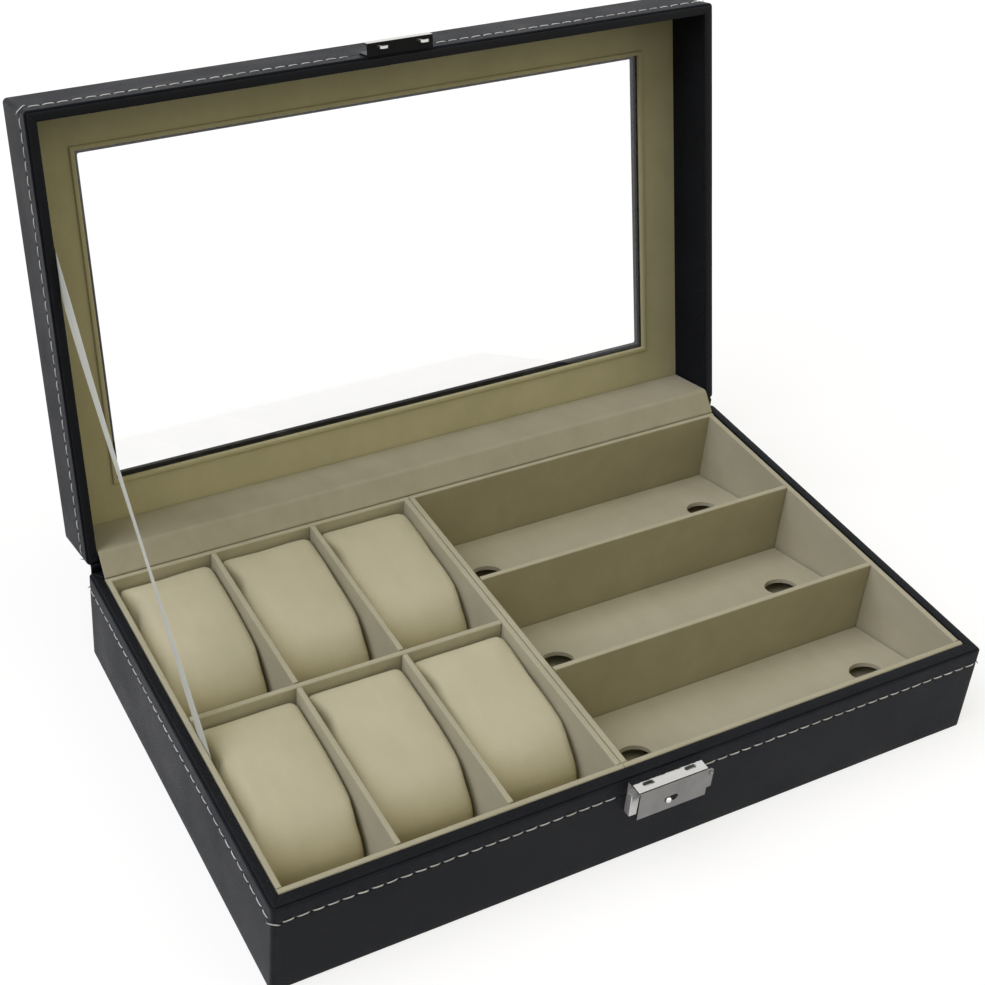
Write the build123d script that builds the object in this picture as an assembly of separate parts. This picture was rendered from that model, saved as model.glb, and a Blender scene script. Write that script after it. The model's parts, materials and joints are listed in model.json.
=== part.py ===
"""Watch and glasses box: a leather-covered case with a hinged window lid.

Units are millimetres and +Z is up. X runs along the box's long side and -Y is its front.
The origin is the centre of the base's underside. The lid's pieces are drawn closed, and
are then turned about the hinge to the angle at which the ribbon stops them.
"""

import os
from math import atan2, cos, degrees, hypot, radians, sin, tan

from build123d import *

# Overall sizes of the closed box
width = 335.0
depth = 203.0
base_height = 46.0
lid_height = 33.0
seam_gap = 0.5
open_angle = 104.0

# Outer covering
leather = 1.0
corner_radius = 2.0
leather_lift = 0.2
felt = 0.8
trim_thickness = 1.2
trim_edge = 0.6
band_step = 0.8
edge_roll = 0.6

# Base carcass boards
side_board = 4.0
front_board = 5.0
bottom_board = 4.0

# Velvet trays
tray_fit = 0.3
tray_wall = 2.6
tray_drop = 0.3
tray_floor = 1.6
divider = 2.5
divider_gap = 0.4
card_edge_share = 0.3
watch_tray_width = 148.85
watch_rows = 2
watch_columns = 3
front_glasses_depth = 56.5
middle_glasses_depth = 61.0
rest_sheet = 2.0
rest_slope = 0.25
rest_end_gap = 0.8
finger_hole = 15.0
finger_hole_inset = 23.0
finger_hole_from_rear = 33.0

# Watch pillows
pillow_side_gap = 0.8
pillow_floor_gap = 0.3
pillow_rear_gap = 1.3
pillow_length = 71.8
pillow_rear_height = 33.6
pillow_front_height = 33.0
pillow_rear_round = 4.0
pillow_nose_round = 24.0
pillow_heel_round = 5.0
pillow_top_bulge = 0.9
pillow_end_round = 3.0

# Lid
lid_board = 3.4
lid_lining = 0.6
lid_top_leather = 0.8
lid_top_board = 2.6
glass_thickness = 1.6
panel_thickness = 1.2
window_margin = 27.0
panel_window_margin = 25.5
glass_overlap = 5.0
glass_fit = 0.3
bead_width = 2.2
bead_height = 0.8

# Hinge and stay
hinge_back = 1.0
hinge_rise = 1.75
hinge_flap = 12.0
hinge_inset = 4.0
hinge_lining_sheet = 0.8
lining_gap = 0.3
ribbon_width = 10.0
ribbon_thickness = 0.4
ribbon_gap = 0.1
ribbon_tab = 20.0
ribbon_lid_from_front = 56.5
ribbon_base_from_front = 76.0
ribbon_lid_depth = 8.0
ribbon_base_depth = 10.0

# Latch on the base
latch_centre = 0.8
latch_sheet = 0.8
latch_width = 32.6
latch_top_depth = 7.6
latch_height = 17.0
latch_drop = 1.0
latch_travel = 3.2
latch_gap = 0.4
slot_length = 5.4
slot_width = 2.0
slot_pitch = 19.8
slot_setback = 4.3
ear_width = 3.8
ear_depth = 3.5
ear_height = 10.6
ear_round = 0.5
cover_gap = 0.2
cover_drop = 0.4
cover_width = 32.6
cover_height = 13.6
cover_lug = 2.2
cover_lug_height = 9.6
cover_lug_round = 0.6
stud_radius = 0.9
stud_proud = 0.8
stud_inset = 1.1
stud_drop = 1.9
hook_plate_inset = 1.0
post_radius = 1.3
post_gap = 0.3
post_drop = 8.4
post_shift = 2.3
post_proud = 1.3

# Rivets
rivet_radius = 1.2
rivet_shank_radius = 0.5
rivet_head = 0.6
rivet_shank = 3.0
rivet_fit = 0.05
crown_share = 0.8

# Catch on the lid
catch_width = 32.0
catch_depth = 6.0
catch_lip = 4.4
catch_lip_round = 1.5
catch_flange = 10.0
catch_flange_round = 2.0
prong_width = 4.0
prong_neck = 1.5
prong_thickness = 1.0
prong_head = 1.6
prong_clear = 0.3
prong_nose = 0.8

# Allowance for picking edges that lie in one plane
same_plane = 1e-4

# Places that follow from the sizes above
half_width = width / 2
half_depth = depth / 2
skin_radius = corner_radius - leather
carcass_x = half_width - leather
carcass_y = half_depth - leather
side_wall = leather + side_board
front_wall = leather + front_board
lid_wall = leather + lid_board + lid_lining
board_top = base_height - trim_thickness
tray_bottom = felt + bottom_board
tray_top = base_height - tray_drop
tray_x = half_width - side_wall - tray_fit
tray_y = half_depth - front_wall - tray_fit
lid_bottom = base_height + seam_gap
lid_top = lid_bottom + lid_height
lid_board_top = lid_top - lid_top_leather - lid_top_board
panel_top = lid_board_top - glass_thickness
panel_bottom = panel_top - panel_thickness
hinge_y = half_depth + hinge_back
hinge_z = base_height + seam_gap / 2 + hinge_rise
front_face = -half_depth
latch_top = base_height - latch_drop + seam_gap / 2
slot_y = front_face - slot_setback
hinge_width = width - 2 * hinge_inset

pieces = {}


def slab(x0, x1, y0, y1, z0, z1):
    """A rectangular board between the given planes."""
    centre = ((x0 + x1) / 2, (y0 + y1) / 2, (z0 + z1) / 2)
    return Pos(*centre) * Box(x1 - x0, y1 - y0, z1 - z0)


def roll_edges(solid, radius, side=-1, inside=True):
    """Rounds the rim of the top face (side -1) or of the bottom face (side 0)."""
    face = solid.faces().sort_by(Axis.Z)[side]
    edges = face.edges() if inside else face.outer_wire().edges()
    return fillet(edges, radius)


def open_lid(solid):
    """Turns a piece of the closed lid to its open place."""
    axis = Axis((0, hinge_y, hinge_z), (-1, 0, 0))
    return solid.rotate(axis, open_angle)


def base_carcass():
    """Boards of the base, its underside felt and its leather."""
    pieces["base_felt"] = extrude(RectangleRounded(2 * carcass_x, 2 * carcass_y, skin_radius), felt)
    inner_x = half_width - side_wall
    inner_y = half_depth - front_wall
    pieces["bottom_board"] = slab(-inner_x, inner_x, -inner_y, inner_y, felt, tray_bottom)
    pieces["front_board"] = end_board(-1, inner_y, felt, board_top)
    pieces["rear_board"] = end_board(1, inner_y, felt, board_top)
    pieces["left_board"] = slab(-carcass_x, -inner_x, -inner_y, inner_y, felt, board_top)
    pieces["right_board"] = slab(inner_x, carcass_x, -inner_y, inner_y, felt, board_top)
    band = skin_band(leather_lift, base_height - band_step)
    band = roll_edges(band, edge_roll, inside=False)
    pieces["base_leather"] = band - hinge_recess(base_height - hinge_flap, base_height)
    trim = rim_ring(inner_x, inner_y, board_top, base_height)
    pieces["base_rim_trim"] = roll_edges(trim, trim_edge)


def end_board(sign, inner_y, z0, z1):
    """A full-width board at the front (-1) or the rear (1), with its outer corners rounded."""
    near, far = sorted((sign * inner_y, sign * carcass_y))
    board = slab(-carcass_x, carcass_x, near, far, z0, z1)
    upright = board.edges().filter_by(Axis.Z)
    corners = upright.filter_by(lambda e: abs(e.center().Y - sign * carcass_y) < same_plane)
    return fillet(corners, skin_radius)


def skin_band(z0, z1):
    """The leather wrapped round the outside of the boards."""
    outer = RectangleRounded(width, depth, corner_radius)
    inner = RectangleRounded(2 * carcass_x, 2 * carcass_y, skin_radius)
    return Pos(0, 0, z0) * extrude(outer - inner, z1 - z0)


def rim_ring(inner_x, inner_y, z0, z1):
    """The strip of leather that lies on a rim."""
    outer = RectangleRounded(2 * carcass_x, 2 * carcass_y, skin_radius)
    return Pos(0, 0, z0) * extrude(outer - Rectangle(2 * inner_x, 2 * inner_y), z1 - z0)


def hinge_recess(z0, z1):
    """The stretch of the rear covering that the hinge leather takes."""
    half = hinge_width / 2
    return slab(-half, half, carcass_y, half_depth, z0, z1)


def tray_box(prefix, x0, x1):
    """Floor and four walls of one velvet tray."""
    low, high = tray_bottom, tray_top
    pieces[prefix + "_tray_floor"] = slab(
        x0 + tray_wall, x1 - tray_wall, -tray_y + tray_wall, tray_y - tray_wall, low, low + tray_floor)
    walls = {
        "front": slab(x0, x1, -tray_y, -tray_y + tray_wall, low, high),
        "rear": slab(x0, x1, tray_y - tray_wall, tray_y, low, high),
        "left": slab(x0, x0 + tray_wall, -tray_y + tray_wall, tray_y - tray_wall, low, high),
        "right": slab(x1 - tray_wall, x1, -tray_y + tray_wall, tray_y - tray_wall, low, high),
    }
    for side, wall in walls.items():
        pieces[f"{prefix}_tray_{side}_wall"] = soften_top(wall)


def soften_top(wall):
    """Rounds the velvet over the long top edges of an upright card."""
    size = wall.bounding_box().size
    along = Axis.X if size.X > size.Y else Axis.Y
    top = wall.bounding_box().max.Z
    edges = wall.edges().filter_by(along).filter_by(lambda e: abs(e.center().Z - top) < same_plane)
    return fillet(edges, min(size.X, size.Y) * card_edge_share)


def watch_tray():
    """The left tray, with a row divider, column dividers and six pillows."""
    x0 = -tray_x
    x1 = x0 + watch_tray_width
    tray_box("watch", x0, x1)
    inner_x0 = x0 + tray_wall
    inner_x1 = x1 - tray_wall
    inner_y = tray_y - tray_wall
    floor_top = tray_bottom + tray_floor
    cell_x = (inner_x1 - inner_x0 - (watch_columns - 1) * divider) / watch_columns
    cell_y = (2 * inner_y - (watch_rows - 1) * divider) / watch_rows
    half = divider / 2
    pieces["row_divider"] = soften_top(
        slab(inner_x0 + divider_gap, inner_x1 - divider_gap, -half, half, floor_top, tray_top))
    rows = {"front": -inner_y, "rear": half}
    columns = ("left", "middle", "right")
    for row, cell_front in rows.items():
        for place, column in enumerate(columns):
            cell_left = inner_x0 + place * (cell_x + divider)
            cushion = pillow(cell_left, cell_x, cell_front + cell_y, floor_top)
            pieces[f"watch_pillow_{row}_{column}"] = cushion
            if place < watch_columns - 1:
                wall_x = cell_left + cell_x
                pieces[f"column_divider_{row}_{column}"] = soften_top(slab(
                    wall_x, wall_x + divider, cell_front + divider_gap, cell_front + cell_y - divider_gap,
                    floor_top, tray_top))


def pillow(cell_left, cell_x, cell_rear, floor_top):
    """One cushion: a loop of padding that slopes from a high back to a rounded nose."""
    bottom = floor_top + pillow_floor_gap
    back = cell_rear - pillow_rear_gap
    nose = back - pillow_length
    heel = (nose, bottom)
    foot = (back, bottom)
    crest = (back, bottom + pillow_rear_height)
    brow = (nose, bottom + pillow_front_height)
    crown = ((nose + back) / 2, (crest[1] + brow[1]) / 2 + pillow_top_bulge)
    top = ThreePointArc(crest, crown, brow)
    side = make_face([Line(heel, foot), Line(foot, crest), top, Line(brow, heel)])
    rounds = {
        heel: pillow_heel_round,
        foot: pillow_heel_round,
        crest: pillow_rear_round,
        brow: pillow_nose_round,
    }
    for corner, radius in rounds.items():
        side = fillet(side.vertices().sort_by_distance((*corner, 0))[0], radius)
    upright = Plane(origin=(cell_left + pillow_side_gap, 0, 0), x_dir=(0, 1, 0), z_dir=(1, 0, 0))
    body = extrude(upright * side, cell_x - 2 * pillow_side_gap)
    return fillet(body.faces().filter_by(Axis.X).edges(), pillow_end_round)


def glasses_tray():
    """The right tray, with three sloped rests between two dividers."""
    x0 = -tray_x + watch_tray_width + tray_fit
    x1 = tray_x
    tray_box("glasses", x0, x1)
    inner_x0 = x0 + tray_wall
    inner_x1 = x1 - tray_wall
    inner_y = tray_y - tray_wall
    floor_top = tray_bottom + tray_floor
    front_divider_y = -inner_y + front_glasses_depth
    rear_divider_y = front_divider_y + divider + middle_glasses_depth
    for name, y0 in (("glasses_divider_front", front_divider_y), ("glasses_divider_rear", rear_divider_y)):
        pieces[name] = soften_top(slab(
            inner_x0 + divider_gap, inner_x1 - divider_gap, y0, y0 + divider, floor_top, tray_top))
    spans = {
        "front": (-inner_y, front_divider_y),
        "middle": (front_divider_y + divider, rear_divider_y),
        "rear": (rear_divider_y + divider, inner_y),
    }
    for name, (y0, y1) in spans.items():
        pieces[f"glasses_rest_{name}"] = sloped_rest(inner_x0, inner_x1, y0, y1, floor_top)


def sloped_rest(x0, x1, y0, y1, floor_top):
    """A folded card: a slope that rises to the front, its front leg and two finger holes."""
    front = y0 + tray_fit
    rear = y1 - tray_fit
    rise = rest_slope * (rear - front)
    high = floor_top + rest_sheet + rise
    profile = [
        (rear, floor_top),
        (rear, floor_top + rest_sheet),
        (front, high),
        (front, floor_top),
        (front + rest_sheet, floor_top),
        (front + rest_sheet, high - rest_sheet * (1 + rest_slope)),
    ]
    upright = Plane(origin=(x0 + tray_fit, 0, 0), x_dir=(0, 1, 0), z_dir=(1, 0, 0))
    card = extrude(upright * make_face(Polyline(*profile, close=True)), x1 - x0 - tray_fit - rest_end_gap)
    hole_y = y1 - finger_hole_from_rear
    hole_z = floor_top + rest_sheet + rest_slope * (rear - hole_y)
    tilt = degrees(atan2(rest_slope, 1.0))
    for hole_x in (x0 + finger_hole_inset, x1 - finger_hole_inset):
        card -= Pos(hole_x, hole_y, hole_z) * Rot(-tilt, 0, 0) * Cylinder(finger_hole / 2, 4 * rest_sheet)
    return card


def window_sheet(outer_x, outer_y, outer_r, margin, z0, z1):
    """A flat frame round the lid's window."""
    sheet = RectangleRounded(outer_x, outer_y, outer_r) if outer_r > 0 else Rectangle(outer_x, outer_y)
    window = Rectangle(width - 2 * margin, depth - 2 * margin)
    return Pos(0, 0, z0) * extrude(sheet - window, z1 - z0)


def lid_pieces():
    """Every piece of the lid in its closed place."""
    board_x = carcass_x - lid_board
    board_y = carcass_y - lid_board
    inner_x = half_width - lid_wall
    inner_y = half_depth - lid_wall
    low = lid_bottom + trim_thickness
    leather_top = lid_top - lid_top_leather
    band = skin_band(lid_bottom + band_step, leather_top)
    band = roll_edges(band, edge_roll, side=0, inside=False)
    cover = window_sheet(width, depth, corner_radius, window_margin, leather_top, lid_top)
    closed = {
        "lid_top_board": window_sheet(
            2 * carcass_x, 2 * carcass_y, skin_radius, window_margin, lid_board_top, leather_top),
        "lid_front_board": end_board(-1, board_y, low, lid_board_top),
        "lid_rear_board": end_board(1, board_y, low, lid_board_top),
        "lid_left_board": slab(-carcass_x, -board_x, -board_y, board_y, low, lid_board_top),
        "lid_right_board": slab(board_x, carcass_x, -board_y, board_y, low, lid_board_top),
        "lid_leather": band - hinge_recess(lid_bottom, lid_bottom + hinge_flap),
        "lid_rim_trim": roll_edges(rim_ring(inner_x, inner_y, lid_bottom, low), trim_edge, side=0),
        "lid_top_leather": roll_edges(cover, edge_roll),
        "lid_lining": wall_lining(board_x, board_y, inner_x, inner_y, low),
    }
    closed.update(window_pieces(inner_x, inner_y))
    return closed


def window_pieces(inner_x, inner_y):
    """Glass, the packing round it, the velvet panel and its bead."""
    glass_x = width - 2 * window_margin + 2 * glass_overlap
    glass_y = depth - 2 * window_margin + 2 * glass_overlap
    packing = Rectangle(2 * inner_x, 2 * inner_y)
    packing -= Rectangle(glass_x + 2 * glass_fit, glass_y + 2 * glass_fit)
    bead_x = width - 2 * panel_window_margin
    bead_y = depth - 2 * panel_window_margin
    bead = Rectangle(bead_x + 2 * bead_width, bead_y + 2 * bead_width) - Rectangle(bead_x, bead_y)
    bead = Pos(0, 0, panel_bottom - bead_height) * extrude(bead, bead_height)
    return {
        "window_glass": Pos(0, 0, panel_top) * extrude(Rectangle(glass_x, glass_y), glass_thickness),
        "glass_packing": Pos(0, 0, panel_top) * extrude(packing, glass_thickness),
        "lid_panel": window_sheet(2 * inner_x, 2 * inner_y, 0, panel_window_margin, panel_bottom, panel_top),
        "window_bead": roll_edges(bead, bead_height * crown_share, side=0),
    }


def wall_lining(board_x, board_y, inner_x, inner_y, low):
    """Leather on the inner faces of the lid's left, right and front walls, in one folded strip."""
    outline = Rectangle(2 * board_x, 2 * board_y) - Rectangle(2 * inner_x, 2 * inner_y)
    rear_strip = Pos(0, board_y) * Rectangle(2 * board_x, 2 * lid_lining)
    return Pos(0, 0, low) * extrude(outline - rear_strip, lid_board_top - low)


def turned(y, z):
    """Where a point of the closed lid's section goes when the lid is open."""
    angle = radians(open_angle)
    dy = y - hinge_y
    dz = z - hinge_z
    return (hinge_y + cos(angle) * dy + sin(angle) * dz, hinge_z - sin(angle) * dy + cos(angle) * dz)


def hinge_pieces():
    """The outer hinge leather and the velvet strip that hides it inside."""
    lid_corner = turned(half_depth, lid_bottom)
    bend_z = lid_corner[1] - (half_depth - lid_corner[0]) * tan(radians(open_angle - 90))
    outer_path = [
        (half_depth, base_height - hinge_flap),
        (half_depth, bend_z),
        turned(half_depth, lid_bottom + hinge_flap),
    ]
    pieces["hinge_leather"] = section_strip(bent_strip(outer_path, leather), hinge_width / 2)
    wall_y = half_depth - lid_wall - lining_gap
    inner_path = [
        (half_depth - front_wall, base_height + lining_gap),
        turned(wall_y, lid_bottom - lining_gap),
        turned(wall_y, panel_bottom - lining_gap),
    ]
    outline = bent_strip(inner_path, hinge_lining_sheet)
    pieces["hinge_lining"] = section_strip(outline, half_width - lid_wall - lining_gap)


def bent_strip(path, thickness):
    """Outline of a bent sheet: the path, then its parallel on the left-hand side."""
    normals = []
    for (x0, y0), (x1, y1) in zip(path, path[1:]):
        length = hypot(x1 - x0, y1 - y0)
        normals.append((-(y1 - y0) / length, (x1 - x0) / length))
    parallel = []
    for place, (x, y) in enumerate(path):
        before = normals[max(place - 1, 0)]
        after = normals[min(place, len(normals) - 1)]
        reach = thickness / (1 + before[0] * after[0] + before[1] * after[1])
        parallel.append((x + (before[0] + after[0]) * reach, y + (before[1] + after[1]) * reach))
    return path + parallel[::-1]


def section_strip(outline, reach):
    """A strip with the given side section that runs along X between -reach and reach."""
    upright = Plane(origin=(-reach, 0, 0), x_dir=(0, 1, 0), z_dir=(1, 0, 0))
    return extrude(upright * make_face(Polyline(*outline, close=True)), 2 * reach)


def stay_ribbon():
    """The satin ribbon between the left walls of the lid and the base, pulled nearly straight."""
    lid_y, lid_z = turned(front_face + ribbon_lid_from_front, lid_bottom + ribbon_lid_depth)
    base_y = front_face + ribbon_base_from_front
    base_z = base_height - ribbon_base_depth
    run = hypot(lid_y - base_y, lid_z - base_z)
    base_x = -tray_x + tray_wall + ribbon_gap
    lid_x = -half_width + lid_wall + ribbon_gap
    thick = ribbon_thickness
    path = [(0, base_x), (ribbon_tab, base_x), (run - ribbon_tab, lid_x), (run, lid_x)]
    outline = path + [(u, x + thick) for u, x in reversed(path)]
    slope = atan2(lid_z - base_z, lid_y - base_y)
    along = (0, cos(slope), sin(slope))
    flat = Plane(origin=(0, base_y, base_z), x_dir=along, z_dir=(0, sin(slope), -cos(slope)))
    side = flat * make_face(Polyline(*outline, close=True))
    pieces["stay_ribbon"] = extrude(side, ribbon_width / 2, both=True)


def latch_case():
    """Folded case on the base's front: back plate, slotted top plate and two ears."""
    half = latch_width / 2
    low = latch_top - latch_height
    back = slab(-half, half, front_face - latch_sheet, front_face, low, latch_top)
    front = front_face - latch_top_depth
    case = back + slab(-half, half, front, front_face, latch_top - latch_sheet, latch_top)
    for x in (-slot_pitch / 2, slot_pitch / 2):
        slot = extrude(SlotOverall(slot_length, slot_width), 2 * latch_sheet, both=True)
        case -= Pos(x, slot_y, latch_top) * slot
    for sign in (-1, 1):
        near, far = sorted((sign * half, sign * (half - ear_width)))
        ear = slab(near, far, front_face - ear_depth, front_face, low, low + ear_height)
        case += fillet(ear.edges().filter_by(Axis.Z).sort_by(Axis.Y)[0:2], ear_round)
    return case


def latch_pieces(closed):
    """Case, guide post, sliding cover and hook plate on the base, and the lid's catch."""
    aside = Pos(latch_centre, 0, 0)
    pieces["latch_case"] = aside * latch_case()
    cover_back = front_face - latch_top_depth - cover_gap
    post_z = latch_top - post_drop
    post_length = latch_top_depth + cover_gap + post_proud
    post = Pos(-post_shift, front_face - latch_sheet, post_z) * domed_pin(post_radius, post_length)
    pieces["latch_post"] = aside * post
    pieces["latch_cover"] = aside * sliding_cover(cover_back - latch_sheet, cover_back, post_z)
    pieces["latch_hook_plate"] = aside * hook_plate(cover_back)
    columns = [latch_centre + sign * slot_pitch / 2 for sign in (-1, 1)]
    rivet_z = latch_top - latch_height / 2
    heads = [(x, front_face - latch_sheet, rivet_z) for x in columns]
    under = ("latch_case", "base_leather", "front_board")
    pieces["latch_rivets"] = riveted(pieces, under, heads)
    closed["lid_catch"] = aside * catch()
    rivet_z = lid_bottom + catch_flange - 2 * rivet_radius
    heads = [(x, front_face - latch_sheet, rivet_z) for x in columns]
    under = ("lid_catch", "lid_leather", "lid_front_board")
    closed["catch_rivets"] = riveted(closed, under, heads)


def riveted(store, names, heads):
    """Rivets at the given places, with their holes cut through the named pieces."""
    reach = latch_sheet + rivet_shank
    for name in names:
        for x, y, z in heads:
            store[name] -= Pos(x, y, z) * shank(rivet_shank_radius + rivet_fit, reach + rivet_fit)
    head = domed_pin(rivet_radius, rivet_head)
    return Compound(children=[Pos(*place) * (head + shank(rivet_shank_radius, reach)) for place in heads])


def shank(radius, reach):
    """A plain pin that runs from the origin along +Y."""
    return Rot(-90, 0, 0) * Cylinder(radius, reach, align=(Align.CENTER, Align.CENTER, Align.MIN))


def domed_pin(radius, length):
    """A pin that stands on its flat end at the origin, along -Y, with a rounded far end."""
    pin = Cylinder(radius, length, align=(Align.CENTER, Align.CENTER, Align.MIN))
    crown = min(radius, length) * crown_share
    return Rot(90, 0, 0) * fillet(pin.edges().sort_by(Axis.Z)[-1], crown)


def sliding_cover(front, back, post_z):
    """The front plate that a thumb pushes sideways, shown pushed to its open end."""
    left = -cover_width / 2
    right = cover_width / 2
    high = latch_top - cover_drop
    plate = slab(left, right, front, back, high - cover_height, high)
    lug = slab(right - cover_lug, right + cover_lug, front, back, high - cover_lug_height, high)
    plate += fillet(lug.edges().filter_by(Axis.Y).sort_by(Axis.X)[-2:], cover_lug_round)
    plate += Pos(right + stud_inset, front, high - stud_drop) * domed_pin(stud_radius, stud_proud)
    slot_height = 2 * (post_radius + post_gap)
    slot = extrude(SlotOverall(latch_travel + slot_height, slot_height), latch_sheet, both=True)
    return plate - Pos(latch_travel / 2 - post_shift, (front + back) / 2, post_z) * Rot(90, 0, 0) * slot


def hook_plate(cover_back):
    """The flange behind the cover, with a window for each prong of the lid's catch."""
    left = hook_plate_inset - cover_width / 2
    right = cover_width / 2 - hook_plate_inset
    high = latch_top - latch_sheet - latch_gap
    flange = slab(left, right, cover_back, front_face - latch_sheet - latch_gap, high - latch_sheet, high)
    window_right = prong_neck - prong_width / 2 + prong_clear + latch_travel
    window = window_right + slot_length / 2
    for x in (-slot_pitch / 2, slot_pitch / 2):
        centre = x + window_right - window / 2
        flange -= Pos(centre, slot_y, high) * Box(window, slot_width, 4 * latch_sheet)
    return flange


def catch():
    """The lid's bracket: a shelf under the rim line, a front lip, a flange and two hooked prongs."""
    half = catch_width / 2
    low = lid_bottom
    front = front_face - catch_depth
    shelf = slab(-half, half, front, front_face, low, low + latch_sheet)
    lip = slab(-half, half, front, front + latch_sheet, low, low + catch_lip)
    flange = slab(-half, half, front_face - latch_sheet, front_face, low, low + catch_flange)
    bracket = shelf + round_top_corners(lip, catch_lip_round) + round_top_corners(flange, catch_flange_round)
    tip = latch_top - 2 * (latch_sheet + latch_gap) - prong_head
    for x in (-slot_pitch / 2, slot_pitch / 2):
        left = x - prong_width / 2
        right = x + prong_width / 2
        neck = left + prong_neck
        outline = [
            (left, low),
            (left, tip + prong_nose),
            (left + prong_nose, tip),
            (right - prong_nose, tip),
            (right, tip + prong_nose),
            (right, tip + prong_head),
            (neck, tip + prong_head),
            (neck, low),
        ]
        upright = Plane(origin=(0, slot_y - prong_thickness / 2, 0), x_dir=(1, 0, 0), z_dir=(0, -1, 0))
        bracket += extrude(upright * make_face(Polyline(*outline, close=True)), -prong_thickness)
    return bracket


def round_top_corners(plate, radius):
    """Rounds the two upper corners of an upright plate."""
    return fillet(plate.edges().filter_by(Axis.Y).sort_by(Axis.Z)[-2:], radius)


base_carcass()
watch_tray()
glasses_tray()
hinge_pieces()
stay_ribbon()
turning = lid_pieces()
latch_pieces(turning)
for lid_name, lid_piece in turning.items():
    pieces[lid_name] = open_lid(lid_piece)

os.makedirs("parts", exist_ok=True)
for piece_name, piece in pieces.items():
    export_step(piece, f"parts/{piece_name}.step")
print(len(pieces), "sub-parts written")
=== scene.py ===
"""Looks of the watch and glasses box: leather skins, stitching, velvet, cushions, ribbon and metal.

Sizes are in millimetres and become metres when a mesh is made. The lid's pieces are worked out
for the closed box and then turned about the hinge, as the frame has them.
"""

import json
import logging
import math
from dataclasses import dataclass, field
from enum import Enum

import bmesh
import bpy
import numpy as np
from mathutils import Matrix, Vector

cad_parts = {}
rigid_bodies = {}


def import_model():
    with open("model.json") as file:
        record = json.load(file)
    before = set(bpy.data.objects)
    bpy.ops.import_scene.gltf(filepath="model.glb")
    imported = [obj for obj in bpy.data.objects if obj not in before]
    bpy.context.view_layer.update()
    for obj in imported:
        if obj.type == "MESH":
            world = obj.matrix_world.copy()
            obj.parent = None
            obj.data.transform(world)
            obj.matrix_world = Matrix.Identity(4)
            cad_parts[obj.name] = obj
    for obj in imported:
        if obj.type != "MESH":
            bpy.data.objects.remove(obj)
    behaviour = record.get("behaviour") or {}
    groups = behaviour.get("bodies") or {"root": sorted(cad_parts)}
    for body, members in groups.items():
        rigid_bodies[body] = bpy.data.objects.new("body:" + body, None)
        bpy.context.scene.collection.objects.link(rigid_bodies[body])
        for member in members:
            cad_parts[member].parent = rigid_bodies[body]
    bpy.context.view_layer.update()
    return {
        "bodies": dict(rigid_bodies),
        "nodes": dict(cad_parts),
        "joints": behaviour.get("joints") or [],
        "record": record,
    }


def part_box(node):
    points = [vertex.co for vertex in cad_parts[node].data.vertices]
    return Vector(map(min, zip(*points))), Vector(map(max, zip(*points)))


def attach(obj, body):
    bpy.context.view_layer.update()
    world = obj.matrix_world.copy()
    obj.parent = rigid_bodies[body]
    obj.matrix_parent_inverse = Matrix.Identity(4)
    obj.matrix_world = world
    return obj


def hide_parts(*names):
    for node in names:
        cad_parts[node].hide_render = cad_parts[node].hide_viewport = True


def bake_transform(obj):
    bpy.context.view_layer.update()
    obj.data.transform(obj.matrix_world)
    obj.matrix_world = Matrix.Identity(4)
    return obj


MM = 0.001
IMAGE_SIDE = 985.0
SENSOR = 36.0
SEED = 11
WELD = 0.01
ARC_POINTS = 9
HAIR_DENSITY = 2200.0

log = logging.getLogger("box")

Array = np.ndarray
Socket = bpy.types.NodeSocket
Outputs = bpy.types.bpy_prop_collection
Triple = tuple[float, float, float]
Colour = Triple


class Body(Enum):
    """The frame's bodies that pieces ride on, apart from the cushions' own."""

    BASE = "base"
    LID = "lid"
    LATCH = "latch_slide"


class Slot(Enum):
    """The record's material slots."""

    BOARD = "board"
    LEATHER = "leather"
    TRIM = "trim"
    FELT = "felt"
    VELVET = "velvet"
    PILLOW = "pillow"
    RIBBON = "ribbon"
    GLASS = "glass"
    METAL = "metal"


class Place(Enum):
    """Where a finish reads its pattern from."""

    OBJECT = "Object"
    UV = "UV"


# Node trees


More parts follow.
